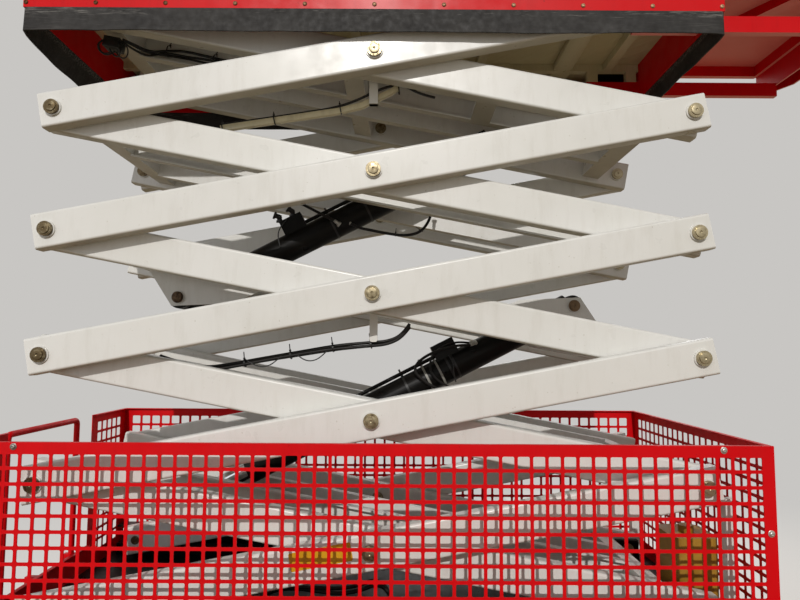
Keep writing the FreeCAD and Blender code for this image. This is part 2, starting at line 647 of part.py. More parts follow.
ey = py - t - 8
ex0, ex1 = px + EXT_OUT - EXT_L, px + EXT_OUT
plate = [(ex0, -ey), (ex1, -ey), (ex1 + CHAMFER, -ey + 2 * CHAMFER), (ex1 + CHAMFER, ey - 2 * CHAMFER),
         (ex1, ey), (ex0, ey)]
loop = [V(x, y, floor + FIT) for x, y in plate]
solid = Part.Face(Part.makePolygon(loop + loop[:1])).extrude(V(0, 0, EXT_H))
hollow = box(ex0 + 30, ex1 - 10, -ey + 30, ey - 30, floor, floor + EXT_H - PLATE_T)
brace_l = math.hypot(BRACE_RUN, 2 * ey)
brace = box(0, brace_l, -BRACE_W / 2, BRACE_W / 2, floor + 12, floor + EXT_H - PLATE_T)
brace.rotate(V(0, 0, 0), V(0, 0, 1), -math.degrees(math.atan2(2 * ey, BRACE_RUN)))
brace.translate(V(px + 50, ey, 0))


def nose(back, inset, z0, z1):
    """The block behind the chamfered front edge, from back of it to the tip."""
    x0, x1 = ex1 + back, ex1 + CHAMFER - inset
    y0, y1 = ey - 2 * back - inset * math.sqrt(5), ey - 2 * (CHAMFER - inset) - inset * math.sqrt(5)
    loop = [V(x0, -y0, z0), V(x1, -y1, z0), V(x1, y1, z0), V(x0, y0, z0)]
    return Part.Face(Part.makePolygon(loop + loop[:1])).extrude(V(0, 0, z1 - z0))


apron = nose(NOSE_GAP, 0, z - NOSE_LOW, floor + FIT)
apron = apron.cut(nose(NOSE_GAP + NOSE_WALL, NOSE_WALL, z - NOSE_LOW - 1, floor - NOSE_WALL))
beams = both_sides(box(px - DRAW_HELD, ex1 + NOSE_GAP + NOSE_WALL, long_in, long_in + DRAW_W, draw_low, draw_top))
write("extension_deck", fused([solid.cut(hollow), brace.common(hollow), apron] + beams))
up = floor + FIT + EXT_H
ext = []
for x in (ex0 + t / 2, (ex0 + ex1) / 2, ex1 - t / 2):
    ext += both_sides(box(x - t / 2, x + t / 2, ey - t, ey, up, rail_top - 60))
for h in (rail_top - 60, up + RAIL_H / 2):
    ext += both_sides(box(ex0, ex1, ey - t, ey, h - t, h))
    ext.append(box(ex1 - t, ex1, -ey, ey, h - t, h))
write("extension_rail", fused(ext))
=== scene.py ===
# A scissor lift seen from eye height beside it: cream painted arms, a red punched guard and a red platform edge.
import json
import math

import bpy
from mathutils import Matrix, Vector


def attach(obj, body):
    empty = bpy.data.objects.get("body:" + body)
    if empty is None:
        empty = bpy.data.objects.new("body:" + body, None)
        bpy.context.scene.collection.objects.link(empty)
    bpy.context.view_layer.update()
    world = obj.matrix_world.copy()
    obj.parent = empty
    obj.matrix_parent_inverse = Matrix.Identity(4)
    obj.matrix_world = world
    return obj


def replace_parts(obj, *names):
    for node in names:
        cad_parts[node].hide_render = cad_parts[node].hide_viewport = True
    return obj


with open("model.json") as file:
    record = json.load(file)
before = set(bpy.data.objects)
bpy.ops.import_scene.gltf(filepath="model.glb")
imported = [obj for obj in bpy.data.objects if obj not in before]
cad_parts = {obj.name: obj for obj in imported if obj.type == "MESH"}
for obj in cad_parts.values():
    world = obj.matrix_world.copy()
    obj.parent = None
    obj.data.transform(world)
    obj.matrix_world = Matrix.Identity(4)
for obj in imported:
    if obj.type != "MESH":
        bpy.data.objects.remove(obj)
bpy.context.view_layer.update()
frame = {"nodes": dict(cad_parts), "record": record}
MM = 0.001

# The camera stands at eye height in front of the machine's near side
IMAGE_W = 800
SENSOR_W = 36
FOCAL_PX = 622.9
CAMERA_AT = (-0.2225, -2.644, 1.5775)
PITCH_UP = math.radians(4.65)
YAW_RIGHT = math.radians(0.10)
ROLL = math.radians(0.32)

# The machine's own sizes in millimetres, with x = 0 midway between the arms' end pins
MIDDLE_X = -316.5
ARM_L = 2350.0
REST = math.radians(10.85)
RISE = ARM_L * math.sin(REST)
PIN_X = ARM_L * math.cos(REST) / 2
BASE_Z = 672.0
LEVELS = 5
PIN_HEAD_Y = 482.3
PIN_INNER_Y = 322.0
BRACKET_PIN_Y = 104.0
CYLINDER_ENDS = {"lower": ((812.1, 1764.8), (-806.4, 935.8)), "upper": ((-812.1, 1791.0), (806.4, 2620.0))}
BARREL_R = 57.5
GUARD_X, GUARD_Y, GUARD_LOW, GUARD_TOP = 1310.0, 600.0, 570.0, 1276.0
PUNCH_PITCH, PUNCH_WEB, GUARD_EDGE = 50.0, 11.0, 38.0
SHEET = 3.0
FOLD = 18.0
ENTRY = (-370.0, 250.0)
SILL_H = 125.0
PLATFORM_X, PLATFORM_Y = 1260.0, 500.0
SKIRT_LOW, SKIRT_TOP = 2715.0, 2799.5
SKIRT_T = 5.0


def at(x, y, z):
    """A place on the machine in millimetres, as a place in the scene."""
    return Vector(((x + MIDDLE_X) * MM, y * MM, z * MM))


def on_outer(level, along, above, y):
    """A place on an outer arm: along it from its middle pin, and above its middle line."""
    z = BASE_Z + (level - 0.5) * RISE
    return at(along * math.cos(REST) - above * math.sin(REST), y, z + along * math.sin(REST) + above * math.cos(REST))


def on_inner(level, along, above, y):
    z = BASE_Z + (level - 0.5) * RISE
    return at(along * math.cos(REST) + above * math.sin(REST), y, z - along * math.sin(REST) + above * math.cos(REST))


def barrel_line(name):
    """Where a barrel's pin is, the way that the barrel points, and the way up from it."""
    (x0, z0), (x1, z1) = CYLINDER_ENDS[name]
    way = Vector((x1 - x0, 0, z1 - z0)).normalized()
    up = Vector((-abs(way.z), 0, abs(way.x)))
    return Vector((x0, 0, z0)), way, up


def on_barrel(name, along, above, y):
    start, way, up = barrel_line(name)
    spot = start + way * along + up * above
    return at(spot.x, y, spot.z)


# Materials
def linear(code):
    """The linear colour of an sRGB hex value."""
    parts = [int(code[i:i + 2], 16) / 255 for i in (1, 3, 5)]
    return tuple(c / 12.92 if c <= 0.04045 else ((c + 0.055) / 1.055) ** 2.4 for c in parts) + (1,)


def add(tree, kind, links=(), values=(), stops=(), **settings):
    """Adds one node: settings are its properties, values and links its sockets, and stops a ramp's colours."""
    node = tree.nodes.new(kind)
    for name, value in settings.items():
        setattr(node, name, value)
    for name, value in values:
        node.inputs[name].default_value = value
    for name, socket in links:
        tree.links.new(socket, node.inputs[name])
    for place, (position, colour) in enumerate(stops):
        stop = node.color_ramp.elements[place] if place < 2 else node.color_ramp.elements.new(position)
        stop.position = position
        stop.color = linear(colour) if isinstance(colour, str) else (colour, colour, colour, 1)
    return node


def blank(name):
    mat = bpy.data.materials.new(name)
    mat.use_nodes = True
    tree = mat.node_tree
    return mat, tree, tree.nodes["Principled BSDF"], add(tree, "ShaderNodeTexCoord").outputs["Object"]


def sprayed_enamel(name, body, worn, grime, film=0.16, rough=0.34, under=None, shine=0.5):
    """Two-pack enamel on steel: even, half gloss, faint orange peel, thin dust; a given underside colour is mixed
    into the faces that look down, as painted shade where it is darker and painted bounce light where it is paler.
    """
    mat, tree, shader, where = blank(name)
    patches = add(tree, "ShaderNodeTexNoise", [("Vector", where)],
                  [("Scale", 1 / (420 * MM)), ("Detail", 4.0), ("Roughness", 0.6)])
    tone = add(tree, "ShaderNodeValToRGB", [("Fac", patches.outputs["Fac"])], stops=[(0.3, body), (0.75, worn)])
    # Rain draws the dust down the face in long streaks
    tall = add(tree, "ShaderNodeMapping", [("Vector", where)], [("Scale", (4.0, 4.0, 0.7))])
    streaks = add(tree, "ShaderNodeTexNoise", [("Vector", tall.outputs["Vector"])],
                  [("Scale", 1 / (160 * MM)), ("Detail", 5.0), ("Roughness", 0.65)])
    dust = add(tree, "ShaderNodeValToRGB", [("Fac", streaks.outputs["Fac"])], stops=[(0.5, 0.0), (0.8, film)])
    dusty = add(tree, "ShaderNodeMix", [(0, dust.outputs["Color"]), (6, tone.outputs["Color"])],
                [(7, linear(grime))], data_type="RGBA")
    grit = add(tree, "ShaderNodeTexNoise", [("Vector", where)], [("Scale", 1 / (11 * MM)), ("Detail", 2.0)])
    specks = add(tree, "ShaderNodeValToRGB", [("Fac", grit.outputs["Fac"])], stops=[(0.72, 0.0), (0.78, 0.4)])
    speckled = add(tree, "ShaderNodeMix", [(0, specks.outputs["Color"]), (6, dusty.outputs[2])],
                   [(7, linear(grime))], data_type="RGBA")
    colour = speckled.outputs[2]
    # Faces that look down take the underside colour: painted shade on the cream enamels, painted bounce light on the
    # red deck.
    if under:
        surface = add(tree, "ShaderNodeNewGeometry")
        facing_way = add(tree, "ShaderNodeSeparateXYZ", [("Vector", surface.outputs["Normal"])])
        below = add(tree, "ShaderNodeMapRange", [("Value", facing_way.outputs["Z"])],
                    [("From Min", -0.4), ("From Max", -0.95), ("To Min", 0.0), ("To Max", 0.85)])
        colour = add(tree, "ShaderNodeMix", [(0, below.outputs["Result"]), (6, colour)],
                     [(7, linear(under))], data_type="RGBA").outputs[2]
    tree.links.new(colour, shader.inputs["Base Color"])
    hazy = add(tree, "ShaderNodeTexNoise", [("Vector", where)], [("Scale", 1 / (60 * MM)), ("Detail", 4.0)])
    gloss = add(tree, "ShaderNodeValToRGB", [("Fac", hazy.outputs["Fac"])],
                stops=[(0.3, rough - 0.07), (0.7, rough + 0.1)])
    tree.links.new(gloss.outputs["Color"], shader.inputs["Roughness"])
    peel = add(tree, "ShaderNodeTexNoise", [("Vector", where)], [("Scale", 1 / (2.5 * MM)), ("Detail", 2.0)])
    skin = add(tree, "ShaderNodeBump", [("Height", peel.outputs["Fac"])],
               [("Distance", 0.05 * MM), ("Strength", 0.5)])
    tree.links.new(skin.outputs["Normal"], shader.inputs["Normal"])
    shader.inputs["Specular IOR Level"].default_value = shine
    shader.inputs["Coat Weight"].default_value = 0.3 * shine
    shader.inputs["Coat Roughness"].default_value = 0.2
    return mat


def turned_zinc(name, dull, clean, rough=0.32):
    """Yellow passivated zinc on turned steel: satin, darker the further towards -X it stands, rubbed pale in places.
    """
    mat, tree, shader, where = blank(name)
    parts = add(tree, "ShaderNodeSeparateXYZ", [("Vector", where)])
    along = add(tree, "ShaderNodeMapRange", [("Value", parts.outputs["X"])],
                [("From Min", -1.5), ("From Max", 0.9), ("To Min", -0.2), ("To Max", 0.3)])
    rubbed = add(tree, "ShaderNodeTexNoise", [("Vector", where)], [("Scale", 1 / (14 * MM)), ("Detail", 4.0)])
    share = add(tree, "ShaderNodeMath", [(0, rubbed.outputs["Fac"]), (1, along.outputs["Result"])], operation="ADD")
    tone = add(tree, "ShaderNodeValToRGB", [("Fac", share.outputs[0])], stops=[(0.3, dull), (0.75, clean)])
    tree.links.new(tone.outputs["Color"], shader.inputs["Base Color"])
    worn = add(tree, "ShaderNodeTexNoise", [("Vector", where)], [("Scale", 1 / (5 * MM)), ("Detail", 3.0)])
    gloss = add(tree, "ShaderNodeValToRGB", [("Fac", worn.outputs["Fac"])],
                stops=[(0.3, rough - 0.06), (0.7, rough + 0.16)])
    tree.links.new(gloss.outputs["Color"], shader.inputs["Roughness"])
    # Tool marks, drawn coarser than real ones so that they show
    marks = add(tree, "ShaderNodeTexNoise", [("Vector", where)], [("Scale", 1 / (1.2 * MM)), ("Detail", 2.0)])
    skin = add(tree, "ShaderNodeBump", [("Height", marks.outputs["Fac"])],
               [("Distance", 0.06 * MM), ("Strength", 0.5)])
    tree.links.new(skin.outputs["Normal"], shader.inputs["Normal"])
    shader.inputs["Metallic"].default_value = 0.8
    return mat


def hard_chrome(name):
    """Ground and polished chromium on a cylinder rod, with a thin film of oil."""
    mat, tree, shader, where = blank(name)
    film = add(tree, "ShaderNodeTexNoise", [("Vector", where)], [("Scale", 1 / (40 * MM)), ("Detail", 3.0)])
    tone = add(tree, "ShaderNodeValToRGB", [("Fac", film.outputs["Fac"])], stops=[(0.3, "#C8CACB"), (0.7, "#DFE0E0")])
    gloss = add(tree, "ShaderNodeValToRGB", [("Fac", film.outputs["Fac"])], stops=[(0.3, 0.08), (0.7, 0.2)])
    tree.links.new(tone.outputs["Color"], shader.inputs["Base Color"])
    tree.links.new(gloss.outputs["Color"], shader.inputs["Roughness"])
    shader.inputs["Metallic"].default_value = 1.0
    return mat


def filled_rubber(name, body, dusty, grain, rough, scuff=None):
    """Black filled rubber: matt, chalky where dust settles, with pale scuffs where something has rubbed along it."""
    mat, tree, shader, where = blank(name)
    chalk = add(tree, "ShaderNodeTexNoise", [("Vector", where)],
                [("Scale", 1 / (150 * MM)), ("Detail", 5.0), ("Roughness", 0.65)])
    tone = add(tree, "ShaderNodeValToRGB", [("Fac", chalk.outputs["Fac"])], stops=[(0.35, body), (0.75, dusty)])
    colour = tone.outputs["Color"]
    if scuff:
        low = add(tree, "ShaderNodeMapping", [("Vector", where)], [("Scale", (0.12, 1.0, 1.6))])
        lines = add(tree, "ShaderNodeTexNoise", [("Vector", low.outputs["Vector"])],
                    [("Scale", 1 / (9 * MM)), ("Detail", 4.0), ("Roughness", 0.7)])
        # They gather towards the two ends
        spot = add(tree, "ShaderNodeSeparateXYZ", [("Vector", where)])
        way = add(tree, "ShaderNodeMath", [(0, spot.outputs["X"])], [(1, MIDDLE_X * MM)], operation="SUBTRACT")
        reach = add(tree, "ShaderNodeMath", [(0, way.outputs[0])], operation="ABSOLUTE")
        more = add(tree, "ShaderNodeMapRange", [("Value", reach.outputs[0])],
                   [("From Min", 0.7), ("From Max", 1.25), ("To Min", 0.0), ("To Max", 0.13)])
        both = add(tree, "ShaderNodeMath", [(0, lines.outputs["Fac"]), (1, more.outputs["Result"])], operation="ADD")
        rubbed = add(tree, "ShaderNodeValToRGB", [("Fac", both.outputs[0])], stops=[(0.6, 0.0), (0.76, 0.6)])
        # and to the band just below the platform's edge
        high = add(tree, "ShaderNodeMapRange", [("Value", spot.outputs["Z"])],
                   [("From Min", (SKIRT_TOP - 30) * MM), ("From Max", (SKIRT_TOP - 18) * MM),
                    ("To Min", 0.12), ("To Max", 1.0)])
        share = add(tree, "ShaderNodeMath", [(0, rubbed.outputs["Color"]), (1, high.outputs["Result"])],
                    operation="MULTIPLY")
        colour = add(tree, "ShaderNodeMix", [(0, share.outputs[0]), (6, colour)],
                     [(7, linear(scuff))], data_type="RGBA").outputs[2]
    tree.links.new(colour, shader.inputs["Base Color"])
    soft = add(tree, "ShaderNodeTexNoise", [("Vector", where)], [("Scale", 1 / (25 * MM)), ("Detail", 3.0)])
    gloss = add(tree, "ShaderNodeValToRGB", [("Fac", soft.outputs["Fac"])],
                stops=[(0.3, rough - 0.08), (0.7, rough + 0.12)])
    tree.links.new(gloss.outputs["Color"], shader.inputs["Roughness"])
    shader.inputs["Specular IOR Level"].default_value = 0.25
    pores = add(tree, "ShaderNodeTexNoise", [("Vector", where)], [("Scale", 1 / grain), ("Detail", 3.0)])
    skin = add(tree, "ShaderNodeBump", [("Height", pores.outputs["Fac"])],
               [("Distance", 0.15 * MM), ("Strength", 0.5)])
    tree.links.new(skin.outputs["Normal"], shader.inputs["Normal"])
    return mat


def rolled_aluminium(name, under):
    """Mill-finish aluminium floor plate with raised bars and scuffs; its underside is painted as the frame is."""
    mat, tree, shader, where = blank(name)
    scuffs = add(tree, "ShaderNodeTexNoise", [("Vector", where)],
                 [("Scale", 1 / (90 * MM)), ("Detail", 5.0), ("Roughness", 0.65)])
    tone = add(tree, "ShaderNodeValToRGB", [("Fac", scuffs.outputs["Fac"])],
               stops=[(0.3, "#8E8F8E"), (0.7, "#B9BAB8")])
    surface = add(tree, "ShaderNodeNewGeometry")
    facing_way = add(tree, "ShaderNodeSeparateXYZ", [("Vector", surface.outputs["Normal"])])
    below = add(tree, "ShaderNodeMath", [(0, facing_way.outputs["Z"])], [(1, -0.5)], operation="LESS_THAN")
    above = add(tree, "ShaderNodeMath", [(1, below.outputs[0])], [(0, 0.9)], operation="SUBTRACT")
    both = add(tree, "ShaderNodeMix", [(0, below.outputs[0]), (6, tone.outputs["Color"])],
               [(7, linear(under))], data_type="RGBA")
    tree.links.new(both.outputs[2], shader.inputs["Base Color"])
    tree.links.new(above.outputs[0], shader.inputs["Metallic"])
    gloss = add(tree, "ShaderNodeValToRGB", [("Fac", scuffs.outputs["Fac"])], stops=[(0.3, 0.32), (0.7, 0.55)])
    tree.links.new(gloss.outputs["Color"], shader.inputs["Roughness"])
    shader.inputs["Specular IOR Level"].default_value = 0.2
    bars = add(tree, "ShaderNodeTexWave", [("Vector", where)],
               [("Scale", 1 / (24 * MM) / 6.283), ("Distortion", 1.5)], bands_direction="DIAGONAL")
    raised = add(tree, "ShaderNodeValToRGB", [("Fac", bars.outputs["Fac"])], stops=[(0.72, 0.0), (0.85, 1.0)])
    skin = add(tree, "ShaderNodeBump", [("Height", raised.outputs["Color"])],
               [("Distance", 1.2 * MM), ("Strength", 0.6)])
    tree.links.new(skin.outputs["Normal"], shader.inputs["Normal"])
    return mat


def moulded_polyethylene(name, body, shade, rough=0.48):
    """Rotationally moulded polyethylene: waxy, slightly uneven in tone, with a fine pebbled skin."""
    mat, tree, shader, where = blank(name)
    flow = add(tree, "ShaderNodeTexNoise", [("Vector", where)], [("Scale", 1 / (80 * MM)), ("Detail", 4.0)])
    tone = add(tree, "ShaderNodeValToRGB", [("Fac", flow.outputs["Fac"])], stops=[(0.3, shade), (0.7, body)])
    tree.links.new(tone.outputs["Color"], shader.inputs["Base Color"])
    gloss = add(tree, "ShaderNodeValToRGB", [("Fac", flow.outputs["Fac"])],
                stops=[(0.3, rough - 0.08), (0.7, rough + 0.08)])
    tree.links.new(gloss.outputs["Color"], shader.inputs["Roughness"])
    pebbles = add(tree, "ShaderNodeTexNoise", [("Vector", where)], [("Scale", 1 / (1.5 * MM)), ("Detail", 2.0)])
    skin = add(tree, "ShaderNodeBump", [("Height", pebbles.outputs["Fac"])],
               [("Distance", 0.1 * MM), ("Strength", 0.5)])
    tree.links.new(skin.outputs["Normal"], shader.inputs["Normal"])
    return mat


# The cream's faces that look down take a darker olive brown: painted shade.
CREAM = sprayed_enamel("cream_enamel", "#E2E1DD", "#DCDBD5", "#9A9078", under="#9A8F74")
# A darker, browner cream for the platform frame, the joist and the cable strip: grime, and painted warm shade from
# under the platform; its faces that look down are darker again, painted shade.
GRIME_AND_PAINTED_SHADE_CREAM = sprayed_enamel("cream_enamel_grime_and_painted_shade", "#DAD1B2", "#C8BC94", "#7A6B48", film=0.36, under="#C6B890")
RED = sprayed_enamel("red_enamel", "#D6020E", "#CE020C", "#5A1410", film=0.15, rough=0.42, shine=0.15)
# The extension deck's red turns pale pink on its faces that look down: painted bounce light, with some dust.
RED_DUST_AND_PAINTED_BOUNCE_LIGHT = sprayed_enamel("red_enamel_dust_and_painted_bounce_light", "#D6020E", "#CE020C", "#6E1814", rough=0.42, under="#F2988E", shine=0.15)
BLACK = sprayed_enamel("black_enamel", "#0B0A09", "#12100E", "#241F18", film=0.2, shine=0.15)
RIM_PAINT = sprayed_enamel("cream_wheel_enamel", "#D8D2C2", "#C9C2AE", "#5E543F", film=0.6)
ZINC = turned_zinc("yellow_zinc", "#5E5038", "#B0A486")
STEEL = turned_zinc("plain_zinc", "#8C8A84", "#C4C2BC")
RUSTED = turned_zinc("rusted_zinc", "#5A3A22", "#B09070", rough=0.5)
BROWNED = turned_zinc("browned_zinc", "#3A2B1E", "#75604A", rough=0.4)
CHROME = hard_chrome("hard_chrome")
SKIRT = filled_rubber("skirt_rubber", "#211F1E", "#373533", 3 * MM, 0.6, scuff="#8E8B86")
TYRE = filled_rubber("tyre_rubber", "#1B1A19", "#35322E", 3 * MM, 0.75)
HOSE = filled_rubber("hose_rubber", "#161514", "#24211E", 1.5 * MM, 0.42)
FLOOR_PLATE = rolled_aluminium("rolled_aluminium", "#C4B68E")
TANK = moulded_polyethylene("brown_polyethylene", "#B08428", "#94691A")
NYLON = moulded_polyethylene("black_nylon", "#1C1B1A", "#121110", rough=0.4)
GREY_NYLON = moulded_polyethylene("grey_nylon", "#9A9890", "#86847C", rough=0.5)
YELLOW_FILM = moulded_polyethylene("yellow_film", "#DDA812", "#C8920E", rough=0.4)

FINISH = {"arm_paint": CREAM, "zinc_steel": ZINC, "red_paint": RED, "dark_paint": BLACK, "chrome_rod": CHROME,
          "skirt_rubber": SKIRT, "tyre": TYRE, "rim_paint": RIM_PAINT, "deck_alu": FLOOR_PLATE,
          "tank_plastic": TANK, "hose_rubber": HOSE}
# Finishes that replace a slot's own for these nodes: grime and painted shade on the platform frame, painted bounce
# light on the extension deck's undersides.
WEAR_AND_PAINTED_LIGHT = {"platform_frame": GRIME_AND_PAINTED_SHADE_CREAM, "extension_deck": RED_DUST_AND_PAINTED_BOUNCE_LIGHT, "extension_rail": RED}

for part in frame["record"]["subparts"]:
    node = frame["nodes"][part["node"]]
    node.data.materials.clear()
    node.data.materials.append(WEAR_AND_PAINTED_LIGHT.get(part["node"], FINISH[part["material_slot"]]))
    for face in node.data.polygons:
        face.use_smooth = False


# Bench tools
def clear_bench():
    """Leaves nothing selected, so that the next operator acts on the new piece alone."""
    if bpy.context.mode != "OBJECT":
        bpy.ops.object.mode_set(mode="OBJECT")
    bpy.ops.object.select_all(action="DESELECT")


def named(name):
    """Names the new piece and moves its place, turn and size into its mesh."""
    thing = bpy.context.object
    thing.name = name
    bpy.ops.object.transform_apply(location=True, rotation=True, scale=True)
    return thing


def pick(thing, kind, test):
    """Selects the faces, edges or corners that pass the test, and stays in edit mode."""
    bpy.ops.object.mode_set(mode="EDIT")
    bpy.ops.mesh.select_mode(type=kind)
    bpy.ops.mesh.select_all(action="DESELECT")
    bpy.ops.object.mode_set(mode="OBJECT")
    mesh = thing.data
    if kind == "FACE":
        for face in mesh.polygons:
            face.select = test(face.center, face.normal)
    elif kind == "EDGE":
        for edge in mesh.edges:
            a, b = (mesh.vertices[i].co for i in edge.vertices)
            edge.select = test((a + b) / 2, (b - a).normalized())
    else:
        for corner in mesh.vertices:
            corner.select = test(corner.co)
    bpy.ops.object.mode_set(mode="EDIT")


def applied(thing, kind, **settings):
    """Adds a modifier with its settings and applies it."""
    if bpy.context.mode != "OBJECT":
        bpy.ops.object.mode_set(mode="OBJECT")
    modifier = thing.modifiers.new(kind.lower(), kind)
    for name, value in settings.items():
        setattr(modifier, name, value)
    bpy.ops.object.modifier_apply(modifier=modifier.name)


def fitted(thing, body, material, smooth=None):
    """Gives a finished piece its material and the body that it rides on."""
    clear_bench()
    thing.select_set(True)
    bpy.context.view_layer.objects.active = thing
    thing.data.materials.clear()
    thing.data.materials.append(material)
    if smooth:
        bpy.ops.object.shade_smooth_by_angle(angle=math.radians(smooth))
    thing.select_set(False)
    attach(thing, body)
    return thing


def joined(things, name):
    clear_bench()
    for thing in things:
        thing.select_set(True)
    bpy.context.view_layer.objects.active = things[0]
    if len(things) > 1:
        bpy.ops.object.join()
    things[0].name = name
    return things[0]


def copied(master, places, name):
    """A copy of the modelled piece at each place, joined; the master stays for the next lot."""
    things = []
    for place in places:
        clear_bench()
        master.select_set(True)
        bpy.context.view_layer.objects.active = master
        bpy.ops.object.duplicate()
        bpy.context.object.matrix_world = place
        bpy.ops.object.transform_apply(location=True, rotation=True, scale=True)
        things.append(bpy.context.object)
    return joined(things, name)


def scrapped(*masters):
    clear_bench()
    for master in masters:
        master.select_set(True)
    bpy.ops.object.delete()


def facing(spot, turn=0.0):
    """A place for a master that faces -Y, turned about the upright axis in degrees."""
    return Matrix.Translation(spot) @ Matrix.Rotation(math.radians(turn), 4, "Z")


# Guard
def punched_sheet(name, x0, x1, turn, place):
    """A sheet with rows of square holes, folded inwards along its top; it is drawn facing -Y and then turned."""
    columns = int((x1 - x0 - 2 * GUARD_EDGE + PUNCH_WEB) // PUNCH_PITCH)
    rows = int((GUARD_TOP - GUARD_LOW - 2 * GUARD_EDGE + PUNCH_WEB) // PUNCH_PITCH)
    side = (x1 - x0 - columns * PUNCH_PITCH) / 2
    top = GUARD_EDGE - PUNCH_WEB / 2
    foot = GUARD_TOP - GUARD_LOW - rows * PUNCH_PITCH - top
    first = ((x0 + side + PUNCH_PITCH / 2) * MM, 0, (GUARD_LOW + foot + PUNCH_PITCH / 2) * MM)
    clear_bench()
    bpy.ops.mesh.primitive_plane_add(size=PUNCH_PITCH * MM, location=first, rotation=(math.pi / 2, 0, 0))
    sheet = named(name)
    bpy.ops.object.mode_set(mode="EDIT")
    bpy.ops.mesh.primitive_plane_add(size=(PUNCH_PITCH - PUNCH_WEB) * MM, location=first,
                                     rotation=(math.pi / 2, 0, 0))
    bpy.ops.mesh.bevel(offset=4.5 * MM, segments=2, affect="VERTICES")
    bpy.ops.mesh.select_all(action="SELECT")
    bpy.ops.mesh.delete(type="ONLY_FACE")
    bpy.ops.mesh.select_mode(type="EDGE")
    bpy.ops.mesh.select_all(action="SELECT")
    bpy.ops.mesh.bridge_edge_loops()
    bpy.ops.mesh.select_all(action="SELECT")
    bpy.ops.mesh.normals_make_consistent(inside=False)
    bpy.ops.object.mode_set(mode="OBJECT")
    if sheet.data.polygons[0].normal.y > 0:
        pick(sheet, "FACE", lambda spot, normal: True)
        bpy.ops.mesh.flip_normals()
    for count, step in ((columns, (PUNCH_PITCH * MM, 0, 0)), (rows, (0, 0, PUNCH_PITCH * MM))):
        applied(sheet, "ARRAY", count=count, use_relative_offset=False, use_constant_offset=True,
                constant_offset_displace=step, use_merge_vertices=True, merge_threshold=0.2 * MM)
    left, right = (x0 + side) * MM, (x1 - side) * MM
    low, high = (GUARD_LOW + foot) * MM, (GUARD_TOP - top) * MM
    near = 1.0 * MM
    for test, step in ((lambda s, d: s.x < left + near, (-side * MM, 0, 0)),
                       (lambda s, d: s.x > right - near, (side * MM, 0, 0)),
                       (lambda s, d: s.z < low + near and abs(d.z) < 0.5, (0, 0, -foot * MM)),
                       (lambda s, d: s.z > high - near and abs(d.z) < 0.5, (0, 0, top * MM)),
                       (lambda s, d: s.z > GUARD_TOP * MM - near and abs(d.z) < 0.5, (0, FOLD * MM, 0))):
        pick(sheet, "EDGE", test)
        bpy.ops.mesh.extrude_region_move(TRANSFORM_OT_translate={"value": step})
    # The fold's two ends are cut at 45 degrees
    for end, step in ((x0, FOLD), (x1, -FOLD)):
        pick(sheet, "VERT", lambda s: s.y > (FOLD - 1) * MM and abs(s.x - end * MM) < near)
        bpy.ops.transform.translate(value=(step * MM, 0, 0))
    applied(sheet, "SOLIDIFY", thickness=SHEET * MM, offset=-1.0)
    sheet.matrix_world = facing(at(*place), turn)
    bpy.ops.object.transform_apply(location=True, rotation=True, scale=True)
    return fitted(sheet, "chassis", RED)


inside_y = GUARD_Y - SHEET
side_sheets = [punched_sheet("guard_sheet_near", -GUARD_X, GUARD_X, 0, (0, -GUARD_Y, 0)),
               punched_sheet("guard_sheet_far", -GUARD_X, GUARD_X, 180, (0, GUARD_Y, 0))]
end_sheets = [punched_sheet("guard_sheet_rear", -inside_y, inside_y, 90, (GUARD_X, 0, 0)),
              punched_sheet("guard_sheet_front_near", -ENTRY[0], inside_y, -90, (-GUARD_X, 0, 0)),
              punched_sheet("guard_sheet_front_far", -inside_y, -ENTRY[1], -90, (-GUARD_X, 0, 0))]

clear_bench()
bpy.ops.mesh.primitive_plane_add(size=1, location=at(-GUARD_X, sum(ENTRY) / 2, GUARD_LOW + SILL_H / 2),
                                 rotation=(math.pi / 2, 0, -math.pi / 2))
bpy.context.object.scale = ((ENTRY[1] - ENTRY[0]) * MM, SILL_H * MM, 1)
sill = named("guard_sill")
pick(sill, "EDGE", lambda s, d: s.z > (GUARD_LOW + SILL_H - 1) * MM)
bpy.ops.mesh.extrude_region_move(TRANSFORM_OT_translate={"value": (FOLD * MM, 0, 0)})
applied(sill, "SOLIDIFY", thickness=SHEET * MM, offset=-1.0)
applied(sill, "BEVEL", width=0.8 * MM, segments=2)
end_sheets.append(fitted(sill, "chassis", RED, smooth=30))
for sheet in side_sheets:
    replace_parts(sheet, "guard_sides")
for sheet in end_sheets:
    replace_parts(sheet, "guard_ends")


def turned_head(name, radius, steps):
    """A round head that faces -Y: from a flat disc, each step insets the front face and then lifts it."""
    clear_bench()
    bpy.ops.mesh.primitive_cylinder_add(vertices=24, radius=radius * MM, depth=0.5 * MM,
                                        location=(0, -0.25 * MM, 0), rotation=(math.pi / 2, 0, 0))
    head = named(name)
    pick(head, "FACE", lambda spot, normal: normal.y < -0.9)
    for inset, lift in steps:
        bpy.ops.mesh.inset(thickness=max(inset, 0.01) * MM)
        bpy.ops.transform.translate(value=(0, -lift * MM, 0))
    clear_bench()
    return head


